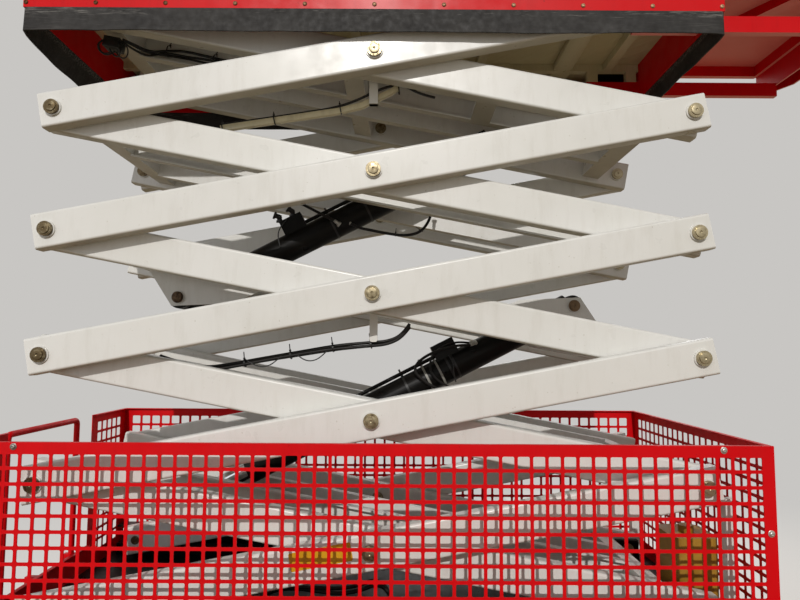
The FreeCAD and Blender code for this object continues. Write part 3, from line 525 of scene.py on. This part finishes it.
# Bolts with washers along the guard's border, each with a domed head and a socket
bolt = turned_head("bolt_master", 11, [(0, 1.2), (0.6, 0.4), (2.6, 0), (0, 2.5), (0.8, 1.4), (1.6, 1.0), (1.8, 0.4),
                                       (0.2, -2.4)])
SIDE_BOLTS = ((-1147, 1262), (1147, 1262), (-1290, 1000), (1290, 1000))
places = [facing(at(x, -GUARD_Y, z)) for x, z in SIDE_BOLTS]
places += [facing(at(x, GUARD_Y, z), 180) for x, z in SIDE_BOLTS]
places += [facing(at(GUARD_X, y, z), 90) for y, z in ((-470, 1260), (470, 1260), (-575, 1000), (575, 1000))]
places += [facing(at(-GUARD_X, y, z), -90) for y, z in ((-575, 1000), (575, 1000), (-480, 1260), (480, 1260))]
fitted(copied(bolt, places, "guard_bolts"), "chassis", STEEL, smooth=40)

# Screws that hold the platform's edge strip, browned with rust
screw = turned_head("screw_master", 8, [(0, 0.8), (0.7, 1.3), (1.6, 1.1), (2.2, 0.6), (0.3, -1.6)])
SCREW_PITCH, SCREW_Z = 250, 2817
places = [facing(at(step * SCREW_PITCH, y, SCREW_Z), turn) for step in range(-5, 6)
          for y, turn in ((-PLATFORM_Y, 0), (PLATFORM_Y, 180))]
fitted(copied(screw, places, "edge_screws"), "platform", RUSTED, smooth=40)

# Turned ends of the arm pins, standing proud of their heads
stub = turned_head("stub_master", 24, [(0, 0.5), (0.4, 0.2), (4.4, 0), (0.1, 3.3), (0.9, 0.7), (0.4, 0.1),
                                       (12.6, 0.0), (0.4, -1.6), (2.6, -1.2)])
for level in range(1, LEVELS + 1):
    middle = BASE_Z + (level - 0.5) * RISE
    spots = [(0, middle)]
    if level > 1:
        spots.append((-PIN_X, middle - RISE / 2))
    if level < LEVELS:
        spots.append((PIN_X, middle + RISE / 2))
    # The second level's middle pin has no near inner end, because the hose hanger comes down there
    places = [facing(at(x, y, z), turn) for x, z in spots
              for y, turn in ((-PIN_HEAD_Y, 0), (PIN_INNER_Y, 0), (-PIN_INNER_Y, 180), (PIN_HEAD_Y, 180))
              if (level, x, y) != (2, 0, -PIN_INNER_Y)]
    fitted(copied(stub, places, "pin_ends_%d" % level), "outer_%d" % level, ZINC, smooth=22)
places = [facing(on_inner(3, sign * 800, sign * 140, y), turn) for sign in (-1, 1)
          for y, turn in ((-BRACKET_PIN_Y, 0), (BRACKET_PIN_Y, 180))]
fitted(copied(stub, places, "bracket_pin_ends"), "inner_3", BROWNED, smooth=22)
scrapped(bolt, screw, stub)

# Wide hat-section joist below the deck, next to the slide beams' shoes
JOIST_X, JOIST_Z = 885, 2957.5
JOIST_SIZE = (90 * MM, 984 * MM, 28 * MM)
JOIST_CROWN = 0.42  # the hat's crown as a share of its brim
clear_bench()
bpy.ops.mesh.primitive_cube_add(size=1, location=at(JOIST_X, 0, JOIST_Z))
bpy.context.object.scale = JOIST_SIZE
joist = named("wide_joist")
pick(joist, "FACE", lambda spot, normal: normal.z < -0.9)
bpy.ops.mesh.inset(thickness=1 * MM)
bpy.ops.transform.resize(value=(JOIST_CROWN, 1, 1))
bpy.ops.transform.translate(value=(0, 0, -6 * MM))
applied(joist, "BEVEL", width=1.5 * MM, segments=2)
# The joist takes the darker cream: painted shade under the platform, with grime.
fitted(joist, "platform", GRIME_AND_PAINTED_SHADE_CREAM, smooth=30)

# Rubber skirt: a ring of sheet hung from the platform's edge, with a wavy lower edge
clear_bench()
bpy.ops.mesh.primitive_cube_add(size=1, location=at(0, 0, (SKIRT_LOW + SKIRT_TOP) / 2))
bpy.context.object.scale = (2 * PLATFORM_X * MM, 2 * PLATFORM_Y * MM, (SKIRT_TOP - SKIRT_LOW) * MM)
skirt = named("rubber_skirt")
pick(skirt, "FACE", lambda spot, normal: abs(normal.z) > 0.9)
bpy.ops.mesh.delete(type="FACE")
pick(skirt, "EDGE", lambda spot, way: abs(way.z) > 0.9)
bpy.ops.mesh.bevel(offset=14 * MM, segments=3, affect="EDGES")
pick(skirt, "EDGE", lambda spot, way: abs(way.x) > 0.9 and abs(spot.x - MIDDLE_X * MM) < 0.1)
bpy.ops.mesh.subdivide(number_cuts=79)
pick(skirt, "EDGE", lambda spot, way: abs(way.y) > 0.9 and abs(spot.y) < 0.1)
bpy.ops.mesh.subdivide(number_cuts=31)
pick(skirt, "EDGE", lambda spot, way: abs(way.z) > 0.9)
bpy.ops.mesh.subdivide(number_cuts=4)
clear_bench()
SKIRT_H = SKIRT_TOP - SKIRT_LOW
for corner in skirt.data.vertices:
    spot = corner.co
    drop = max(0.0, (SKIRT_TOP * MM - spot.z) / (SKIRT_H * MM))
    x, y = spot.x / MM - MIDDLE_X, spot.y / MM
    wave = 2.2 * math.sin(x / 97 + y / 61) + 1.6 * math.sin(x / 41 - y / 33 + 1.3) + 1.0 * math.sin(x / 19 + 0.4)
    # The left end has taken a set outwards, and the right end is a little pulled up
    flare = 9 * math.exp(-((x + 1180) / 130) ** 2) + 3 * math.exp(-((x - 1150) / 160) ** 2)
    out = drop ** 1.4 * (wave + 1.6 + flare)
    lift = drop * (1.2 * math.sin(x / 130 + 0.8) + 2.5 * math.exp(-((x - 1120) / 130) ** 2)
                   - 3.0 * math.exp(-((x + 1190) / 90) ** 2))
    if abs(y) > PLATFORM_Y - 15:
        spot.y += math.copysign(max(out, 0.0) * MM, y)
    else:
        bow = 36 * drop * math.sin(math.pi * (y + PLATFORM_Y) / (2 * PLATFORM_Y)) if x < 0 else 0.0
        spot.x += math.copysign((max(out, 0.0) + bow) * MM, x)
    spot.z += lift * MM
applied(skirt, "SOLIDIFY", thickness=SKIRT_T * MM, offset=-1.0)
fitted(skirt, "platform", SKIRT, smooth=50)
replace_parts(skirt, "platform_skirt")


# Hoses, cables and what holds them
def smooth_line(name, points, radius, around, between):
    """A round line along the points: how finely it is divided around, and between two points."""
    data = bpy.data.curves.new(name, "CURVE")
    data.dimensions = "3D"
    data.bevel_depth = radius * MM
    data.bevel_resolution = around
    data.resolution_u = between
    data.use_fill_caps = True
    line = data.splines.new("NURBS")
    line.points.add(len(points) - 1)
    for point, spot in zip(line.points, points):
        point.co = (*spot, 1)
    line.order_u = 3
    line.use_endpoint_u = True
    thing = bpy.data.objects.new(name, data)
    bpy.context.collection.objects.link(thing)
    return thing


def hose(name, points, radius, body, material=HOSE):
    """A held hose or cable: a smooth line through the places that its clips and its own stiffness give it."""
    thing = smooth_line(name, points, radius, 3, 8)
    thing.data.materials.append(material)
    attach(thing, body)
    return thing


def along(spot, way):
    """A place for a master whose length is along Z, turned to point along the way."""
    return Matrix.Translation(spot) @ Vector(way).to_track_quat("Z", "Y").to_matrix().to_4x4()


def cable_tie(name, radius, width=4.8, tail=22.0):
    """A nylon band round Z with its ratchet head and its cut tail, which stands out on +Y."""
    clear_bench()
    bpy.ops.mesh.primitive_cylinder_add(vertices=24, radius=radius * MM, depth=width * MM)
    band = named(name)
    pick(band, "FACE", lambda spot, normal: abs(normal.z) > 0.9)
    bpy.ops.mesh.delete(type="FACE")
    applied(band, "SOLIDIFY", thickness=1.2 * MM, offset=1.0)
    clear_bench()
    bpy.ops.mesh.primitive_cube_add(size=1, location=(0, (radius + 3.2) * MM, 0))
    bpy.context.object.scale = (6.5 * MM, 5.5 * MM, (width + 2.4) * MM)
    head = named("tie_head")
    pick(head, "FACE", lambda spot, normal: normal.y > 0.9)
    bpy.ops.mesh.inset(thickness=1.8 * MM)
    bpy.ops.mesh.extrude_region_move(TRANSFORM_OT_translate={"value": (0, tail * MM, 0)})
    bpy.ops.transform.translate(value=(tail * 0.35 * MM, 0, 0))
    applied(head, "BEVEL", width=0.5 * MM, segments=2)
    return joined([band, head], name)


def hose_end(name, radius):
    """A crimped ferrule and its union nut, pointing along +Z from where the hose goes in."""
    clear_bench()
    bpy.ops.mesh.primitive_cylinder_add(vertices=6, radius=radius * 2.0 * MM, depth=9 * MM, location=(0, 0, 22 * MM))
    nut = named(name)
    applied(nut, "BEVEL", width=0.8 * MM, segments=2)
    clear_bench()
    bpy.ops.mesh.primitive_cylinder_add(vertices=20, radius=radius * 1.3 * MM, depth=20 * MM, location=(0, 0, 8 * MM))
    ferrule = named("ferrule")
    pick(ferrule, "FACE", lambda spot, normal: normal.z < -0.9)
    bpy.ops.mesh.inset(thickness=0.2 * radius * MM)
    bpy.ops.transform.translate(value=(0, 0, -2 * MM))
    pick(ferrule, "EDGE", lambda spot, way: abs(way.z) > 0.9)
    bpy.ops.mesh.subdivide(number_cuts=3)
    pick(ferrule, "FACE", lambda spot, normal: abs(normal.z) < 0.5 and (spot.z < 4 * MM or 8 * MM < spot.z < 13 * MM))
    bpy.ops.mesh.inset(thickness=0.6 * MM)
    bpy.ops.transform.shrink_fatten(value=-0.8 * MM)
    return joined([nut, ferrule], name)


# Bundle of hoses below the third level's arms: three hoses that keep beside each other, tied at four places
BUNDLE = [(-800, 1548), (-718, 1518), (-630, 1502), (-530, 1518), (-400, 1544), (-265, 1567), (-140, 1588),
          (-20, 1599), (55, 1606), (108, 1632), (135, 1672)]
BUNDLE_Y = -298.0
for number, (dy, dz) in enumerate(((-6.5, -4.0), (6.5, -5.0), (0.0, 6.5))):
    route = [at(x, BUNDLE_Y + dy + 1.5 * math.sin(i * 1.7 + number), z + dz + 1.5 * math.cos(i * 1.3 + number * 2))
             for i, (x, z) in enumerate(BUNDLE)]
    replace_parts(hose("arm_hose_%d" % (number + 1), route, 6.2, "outer_3"), "arm_hoses")

# The plate that hangs from the middle pin and carries the bundle
HANGER_AT = at(0, -316.4, 1700)
HANGER_SIZE = (30 * MM, 6 * MM, 182 * MM)
clear_bench()
bpy.ops.mesh.primitive_cube_add(size=1, location=HANGER_AT)
bpy.context.object.scale = HANGER_SIZE
hanger = named("hose_hanger")
pick(hanger, "EDGE", lambda spot, way: abs(way.y) > 0.9)
bpy.ops.mesh.bevel(offset=9 * MM, segments=4, affect="EDGES")
applied(hanger, "BEVEL", width=0.7 * MM, segments=1)
fitted(hanger, "outer_3", CREAM, smooth=30)
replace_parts(hanger, "arm_hoses")

tie = cable_tie("tie_master", 14.5)
places = [along(at(x, BUNDLE_Y, z), (1, 0, 0.18)) for x, z in ((-481, 1528), (-310, 1559), (-152, 1586), (-10, 1600))]
fitted(copied(tie, places, "bundle_ties"), "outer_3", NYLON, smooth=30)
hose("slack_lead_1", [at(-481, -306, 1544), at(-462, -310, 1530), at(-420, -312, 1513), at(-375, -312, 1522),
                      at(-345, -306, 1556)], 2.2, "outer_3", NYLON)
hose("slack_lead_2", [at(-285, -306, 1560), at(-262, -311, 1541), at(-225, -312, 1536), at(-190, -310, 1556),
                      at(-165, -306, 1586)], 2.2, "outer_3", NYLON)

# Cable strip below the top level's near outer arm, on a plate from the middle pin
STRIP_Y = -300.0
STRIP_AT = at(-372, STRIP_Y, 2462)
STRIP_SLOPE = math.radians(9.0)
STRIP_SIZE = (455 * MM, 22 * MM, 23 * MM)
STRIP_BENDS = ((95, 24), (110, 54), (32, 22))  # how far each bend takes its right end along and up
clear_bench()
bpy.ops.mesh.primitive_cube_add(size=1, location=STRIP_AT, rotation=(0, -STRIP_SLOPE, 0))
bpy.context.object.scale = STRIP_SIZE
strip = named("cable_strip")
pick(strip, "FACE", lambda spot, normal: normal.x > 0.9)
for reach, rise in STRIP_BENDS:
    bpy.ops.mesh.extrude_region_move(TRANSFORM_OT_translate={"value": (reach * MM, 0, rise * MM)})
applied(strip, "BEVEL", width=1.2 * MM, segments=2)
# The strip takes the darker cream: painted shade under the top level, with grime.
fitted(strip, "outer_5", GRIME_AND_PAINTED_SHADE_CREAM, smooth=30)

STRIP_HANGER_AT = at(-8, -318.3, 2598)
STRIP_HANGER_SIZE = (34 * MM, 6 * MM, 150 * MM)
clear_bench()
bpy.ops.mesh.primitive_cube_add(size=1, location=STRIP_HANGER_AT)
bpy.context.object.scale = STRIP_HANGER_SIZE
strip_hanger = named("strip_hanger")
pick(strip_hanger, "FACE", lambda spot, normal: normal.z < -0.9)
bpy.ops.mesh.extrude_region_move(TRANSFORM_OT_translate={"value": (0, 24 * MM, 0)})
pick(strip_hanger, "EDGE", lambda spot, way: abs(way.y) > 0.9 and spot.z > 2.65)
bpy.ops.mesh.bevel(offset=12 * MM, segments=4, affect="EDGES")
applied(strip_hanger, "BEVEL", width=0.7 * MM, segments=1)
fitted(strip_hanger, "outer_5", CREAM, smooth=30)

STRIP_CABLE = [(-595, 2443), (-480, 2461), (-300, 2489), (-150, 2514), (-60, 2549), (0, 2582), (70, 2606),
               (120, 2600), (170, 2570), (230, 2556)]
hose("strip_cable", [at(x, STRIP_Y, z) for x, z in STRIP_CABLE], 5.0, "outer_5", NYLON)
strip_tie = cable_tie("strip_tie_master", 19.0, tail=10.0)
places = [along(at(x, STRIP_Y, z), (1, 0, 0.17)) for x, z in ((-588, 2430), (-390, 2463), (-136, 2507), (88, 2588))]
fitted(copied(strip_tie, places, "strip_ties"), "outer_5", NYLON, smooth=30)

# Pipework on the two cylinders
fitting = hose_end("fitting_master", 6.0)
hose("upper_return_hose", [at(-112, -45, 2112), at(-80, -68, 2090), at(-20, -70, 2078), at(50, -70, 2064),
                           at(120, -70, 2056), at(180, -70, 2070), at(214, -70, 2110), at(232, -68, 2165),
                           at(243, -50, 2235)], 6.0, "upper_barrel")
hose("upper_feed_hose", [at(-318, -60, 2192), at(-290, -62, 2177), at(-240, -66, 2150), at(-180, -66, 2120)],
     6.0, "upper_barrel")
hose("upper_lead", [at(-382, -40, 2130), at(-408, -55, 2095), at(-418, -60, 2050), at(-404, -62, 2008)],
     2.4, "upper_barrel", NYLON)
places = [along(at(-314, -60, 2190), (-1, 0.1, 0.55)), along(at(-176, -66, 2118), (0.8, 0.2, -0.6)),
          along(at(-112, -45, 2112), (-0.3, 0.35, 0.8)), along(at(243, -50, 2235), (0.1, 0.3, 1))]
fitted(copied(fitting, places, "upper_fittings"), "upper_barrel", STEEL, smooth=30)
elbow = hose_end("elbow_master", 8.5)
places = [along(on_barrel("upper", *spot), way) for spot, way in
          (((512, 138, -18), (0.1, 0.1, -1)), ((572, 136, -12), (0.1, 0.1, -1)),
           ((512, 132, -24), (-0.9, -0.3, 0.3)), ((572, 130, -18), (-0.8, -0.3, 0.5)))]
fitted(copied(elbow, places, "upper_elbows"), "upper_barrel", NYLON, smooth=30)
small_tie = cable_tie("small_tie_master", 6.4, width=4.0, tail=16.0)
places = [along(at(78, -70, 2061), (1, 0, -0.1)), along(at(186, -70, 2078), (0.6, 0, 0.8))]
fitted(copied(small_tie, places, "upper_hose_ties"), "upper_barrel", NYLON, smooth=30)

hose("lower_feed_hose", [at(392, -40, 1602), at(350, -62, 1603), at(281, -70, 1588), at(215, -71, 1562),
                         at(166, -71, 1525), at(160, -71, 1490), at(188, -71, 1462), at(236, -70, 1430),
                         at(275, -62, 1414)], 6.0, "lower_barrel")
hose("lower_return_hose", [at(388, -30, 1612), at(330, -50, 1618), at(262, -64, 1590), at(226, -70, 1548),
                           at(222, -71, 1500), at(250, -70, 1456), at(300, -62, 1432)], 4.5, "lower_barrel")
hose("lower_lead", [at(300, -60, 1560), at(322, -70, 1530), at(318, -72, 1490), at(330, -70, 1450)],
     2.4, "lower_barrel", NYLON)
places = [along(at(396, -38, 1604), (1, 0.2, 0.1)), along(at(278, -60, 1413), (0.8, 0.4, -0.2)),
          along(at(393, -28, 1612), (1, 0.2, 0.0)), along(at(304, -60, 1430), (0.8, 0.4, -0.1))]
fitted(copied(fitting, places, "lower_fittings"), "lower_barrel", STEEL, smooth=30)

_, lower_way, _ = barrel_line("lower")
_, upper_way, _ = barrel_line("upper")
strap = cable_tie("strap_master", BARREL_R + 0.3, width=9.0, tail=26.0)
for name, side, way, reaches, material in (("grey_straps", "lower", lower_way, (610, 668), GREY_NYLON),
                                           ("black_straps", "lower", lower_way, (540, 566, 760), NYLON),
                                           ("upper_straps", "upper", upper_way, (700, 860, 1180), NYLON)):
    places = [along(on_barrel(side, reach, 0, 0), way) for reach in reaches]
    fitted(copied(strap, places, name), side + "_barrel", material, smooth=30)

# Cables that lie in the channel of the top level's near spine
for number, (y, above, swing, radius) in enumerate(((-101, 10, 12, 5.5), (-103, -4, -9, 4.5), (-100, -18, 6, 4.0))):
    hose("spine_cable_%d" % (number + 1),
         [on_inner(5, -1016, -58 + swing * 0.4, -262), on_inner(5, -985, -62 + swing, -225),
          on_inner(5, -948, -56 + swing, -166), on_inner(5, -912, above * 0.6 - 14, y - 16),
          on_inner(5, -840, above + swing * 0.5, y),
          on_inner(5, -730, above, y), on_inner(5, -600, above - swing * 0.3, y), on_inner(5, -440, above, y)],
         radius, "inner_5", NYLON)
places = [along(on_inner(5, u, 0, -104), (math.cos(REST), 0, -math.sin(REST))) for u in (-900, -700, -500)]
wide_tie = cable_tie("wide_tie_master", 23.0, tail=18.0)
fitted(copied(wide_tie, places, "spine_ties"), "inner_5", NYLON, smooth=30)
scrapped(tie, strip_tie, small_tie, strap, wide_tie, fitting, elbow)

# Junction box below the top level's left cross tube, with the looped tails of its wires
BOX_AT = on_inner(5, -1040, -84, -270)
BOX_SIZE = (64 * MM, 60 * MM, 42 * MM)
clear_bench()
bpy.ops.mesh.primitive_cube_add(size=1, location=BOX_AT, rotation=(0, REST, 0))
bpy.context.object.scale = BOX_SIZE
box = named("junction_box")
pick(box, "FACE", lambda spot, normal: normal.z < -0.9)
bpy.ops.mesh.inset(thickness=5 * MM)
bpy.ops.transform.translate(value=(0, 0, 2 * MM))
bpy.ops.mesh.inset(thickness=6 * MM)
bpy.ops.transform.translate(value=(0, 0, -5 * MM))
applied(box, "BEVEL", width=2 * MM, segments=2)
fitted(box, "inner_5", NYLON, smooth=30)
LOOPS = [[(-1070, -82, -290), (-1090, -97, -300), (-1085, -127, -285), (-1050, -134, -270), (-1030, -102, -262)],
         [(-1010, -92, -296), (-990, -107, -310), (-995, -137, -290), (-1030, -132, -280), (-1050, -102, -285)],
         [(-1010, -77, -285), (-980, -82, -300), (-965, -112, -290), (-985, -134, -270), (-1020, -122, -262),
          (-1035, -102, -255)],
         [(-1068, -72, -270), (-1095, -67, -270), (-1105, -102, -262), (-1075, -127, -255), (-1052, -102, -250)]]
for number, loop in enumerate(LOOPS):
    hose("box_wire_%d" % (number + 1), [on_inner(5, *spot) for spot in loop], 3.2 - 0.3 * number, "inner_5", NYLON)


# Grab frame over the entry: a bent tube that stands on the sill outside the opening
def tube_bend(before, spot, after, reach=45.0):
    """Three points that take a tube round a corner."""
    before, spot, after = Vector(before), Vector(spot), Vector(after)
    return [at(*(spot + (before - spot).normalized() * reach)), at(*spot),
            at(*(spot + (after - spot).normalized() * reach))]


FRAME_X = -GUARD_X - 14
FRAME_NEAR_Y, FRAME_FAR_Y = -345, 145
FRAME_FOOT, FRAME_TOP = 600, 1264
FRAME_TUBE_R = 12.0
feet = [(FRAME_X, FRAME_NEAR_Y, FRAME_FOOT), (FRAME_X, FRAME_NEAR_Y, FRAME_TOP),
        (FRAME_X, FRAME_FAR_Y, FRAME_TOP), (FRAME_X, FRAME_FAR_Y, FRAME_FOOT)]
tube = smooth_line("entry_frame", [at(*feet[0])] + tube_bend(*feet[:3]) + tube_bend(*feet[1:]) + [at(*feet[3])],
                   FRAME_TUBE_R, 4, 6)
clear_bench()
tube.select_set(True)
bpy.context.view_layer.objects.active = tube
bpy.ops.object.convert(target="MESH")
fitted(bpy.context.object, "chassis", RED, smooth=40)

# Hoses that lie on the chassis deck below the arms
for number, (lift, swing) in enumerate(((0, 0), (11, 26))):
    hose("deck_hose_%d" % (number + 1),
         [at(-470, -150 - swing, 594 + lift), at(-420, -152 - swing, 640 + lift), at(-330, -150 - swing, 662 + lift),
          at(-230, -148, 650 + lift), at(-130, -146 + swing, 636 + lift), at(-50, -146 + swing, 650 + lift),
          at(10, -150 + swing, 676 + lift), at(60, -154, 660), at(82, -156, 594)], 8.0, "chassis")

# Blank plate on the lowest near outer arm
PLATE_AT = on_outer(1, -167, 16, -466.0)
PLATE_L, PLATE_H, PLATE_T = 214 * MM, 62 * MM, 0.6 * MM
clear_bench()
bpy.ops.mesh.primitive_plane_add(size=1, location=PLATE_AT, rotation=(math.pi / 2, -REST, 0))
bpy.context.object.scale = (PLATE_L, PLATE_H, 1)
plate = named("blank_plate")
bpy.ops.object.mode_set(mode="EDIT")
bpy.ops.mesh.select_all(action="SELECT")
bpy.ops.mesh.bevel(offset=6 * MM, segments=4, affect="VERTICES")
bpy.ops.mesh.select_all(action="SELECT")
bpy.ops.mesh.extrude_region_move(TRANSFORM_OT_translate={"value": (0, -PLATE_T, 0)})
bpy.ops.mesh.inset(thickness=3 * MM)
bpy.ops.mesh.select_all(action="SELECT")
bpy.ops.mesh.normals_make_consistent(inside=False)
fitted(plate, "outer_1", YELLOW_FILM)


# Floor, lamps and camera
BACKDROP = "#C8C6C3"
SUN_WAY = (0.04, 1.0, -0.57)
SUN_STRENGTH, SKY_STRENGTH = 1.95, 0.42
FADE_FROM, FADE_TO = 2.2, 6.0  # metres from the machine over which the floor takes the backdrop's colour


def floor():
    bpy.ops.mesh.primitive_plane_add(size=80, location=(0, 0, 0))
    ground = bpy.context.object
    ground.name = "floor"
    mat, tree, shader, where = blank("pale_floor")
    shader.inputs["Roughness"].default_value = 0.9
    seen = add(tree, "ShaderNodeLightPath")
    # The ground that the machine's undersides face is darker than the floor that the picture shows
    tone = add(tree, "ShaderNodeMix", [(0, seen.outputs["Is Camera Ray"])],
               [(6, linear("#9A8D76")), (7, linear("#EDEBE8"))], data_type="RGBA")
    tree.links.new(tone.outputs[2], shader.inputs["Base Color"])
    # Away from the machine the floor shows the backdrop's own colour, so that no horizon shows
    reach = add(tree, "ShaderNodeVectorMath", [("Vector", where)], operation="LENGTH")
    far = add(tree, "ShaderNodeMapRange", [("Value", reach.outputs["Value"])],
              [("From Min", FADE_FROM), ("From Max", FADE_TO)], interpolation_type="SMOOTHSTEP")
    share = add(tree, "ShaderNodeMath", [(0, far.outputs["Result"]), (1, seen.outputs["Is Camera Ray"])],
                operation="MULTIPLY")
    backdrop = add(tree, "ShaderNodeEmission", values=[("Color", linear(BACKDROP)), ("Strength", 1.0)])
    both = add(tree, "ShaderNodeMixShader", [(0, share.outputs[0]), (1, shader.outputs[0]), (2, backdrop.outputs[0])])
    tree.links.new(both.outputs[0], tree.nodes["Material Output"].inputs["Surface"])
    ground.data.materials.append(mat)


def lamp(name, spot, aim, size, power, colour="#FFFFFF"):
    data = bpy.data.lights.new(name, "AREA")
    data.shape = "RECTANGLE"
    data.size, data.size_y = size
    data.energy = power
    data.color = linear(colour)[:3]
    thing = bpy.data.objects.new(name, data)
    thing.location = spot
    thing.rotation_euler = (Vector(aim) - Vector(spot)).to_track_quat("-Z", "Y").to_euler()
    bpy.context.collection.objects.link(thing)


def lights():
    world = bpy.data.worlds.new("studio")
    bpy.context.scene.world = world
    world.use_nodes = True
    tree = world.node_tree
    light = tree.nodes["Background"]
    light.inputs["Color"].default_value = linear("#ECEAE6")
    light.inputs["Strength"].default_value = SKY_STRENGTH
    seen = add(tree, "ShaderNodeBackground", values=[("Color", linear(BACKDROP)), ("Strength", 1.0)])
    path = add(tree, "ShaderNodeLightPath")
    either = add(tree, "ShaderNodeMath", [(0, path.outputs["Is Camera Ray"]), (1, path.outputs["Is Glossy Ray"])],
                 operation="MAXIMUM")
    mix = add(tree, "ShaderNodeMixShader", [(0, either.outputs[0]), (1, light.outputs[0]), (2, seen.outputs[0])])
    tree.links.new(mix.outputs[0], tree.nodes["World Output"].inputs["Surface"])
    # A low sun behind the camera draws the guard's holes on the arms
    data = bpy.data.lights.new("sun", "SUN")
    data.energy = SUN_STRENGTH
    data.angle = math.radians(0.6)
    data.color = linear("#FFFCF8")[:3]
    sun = bpy.data.objects.new("sun", data)
    sun.rotation_euler = Vector(SUN_WAY).to_track_quat("-Z", "Y").to_euler()
    bpy.context.collection.objects.link(sun)
    lamp("fill", (-5.0, -4.5, 2.8), (-0.3, 0, 1.6), (4.0, 4.0), 40, "#EEF3FF")
    lamp("back", (1.5, 6.0, 5.0), (-0.3, 0, 2.0), (4.0, 3.0), 120)


def camera():
    data = bpy.data.cameras.new("camera")
    data.sensor_width = SENSOR_W
    data.lens = FOCAL_PX / IMAGE_W * SENSOR_W
    thing = bpy.data.objects.new("camera", data)
    turn = (Matrix.Rotation(-YAW_RIGHT, 4, "Z") @ Matrix.Rotation(math.pi / 2 + PITCH_UP, 4, "X")
            @ Matrix.Rotation(ROLL, 4, "Z"))
    thing.matrix_world = Matrix.Translation(CAMERA_AT) @ turn
    bpy.context.collection.objects.link(thing)
    bpy.context.scene.camera = thing


clear_bench()
floor()
lights()
camera()
bpy.context.scene.view_settings.view_transform = "Standard"
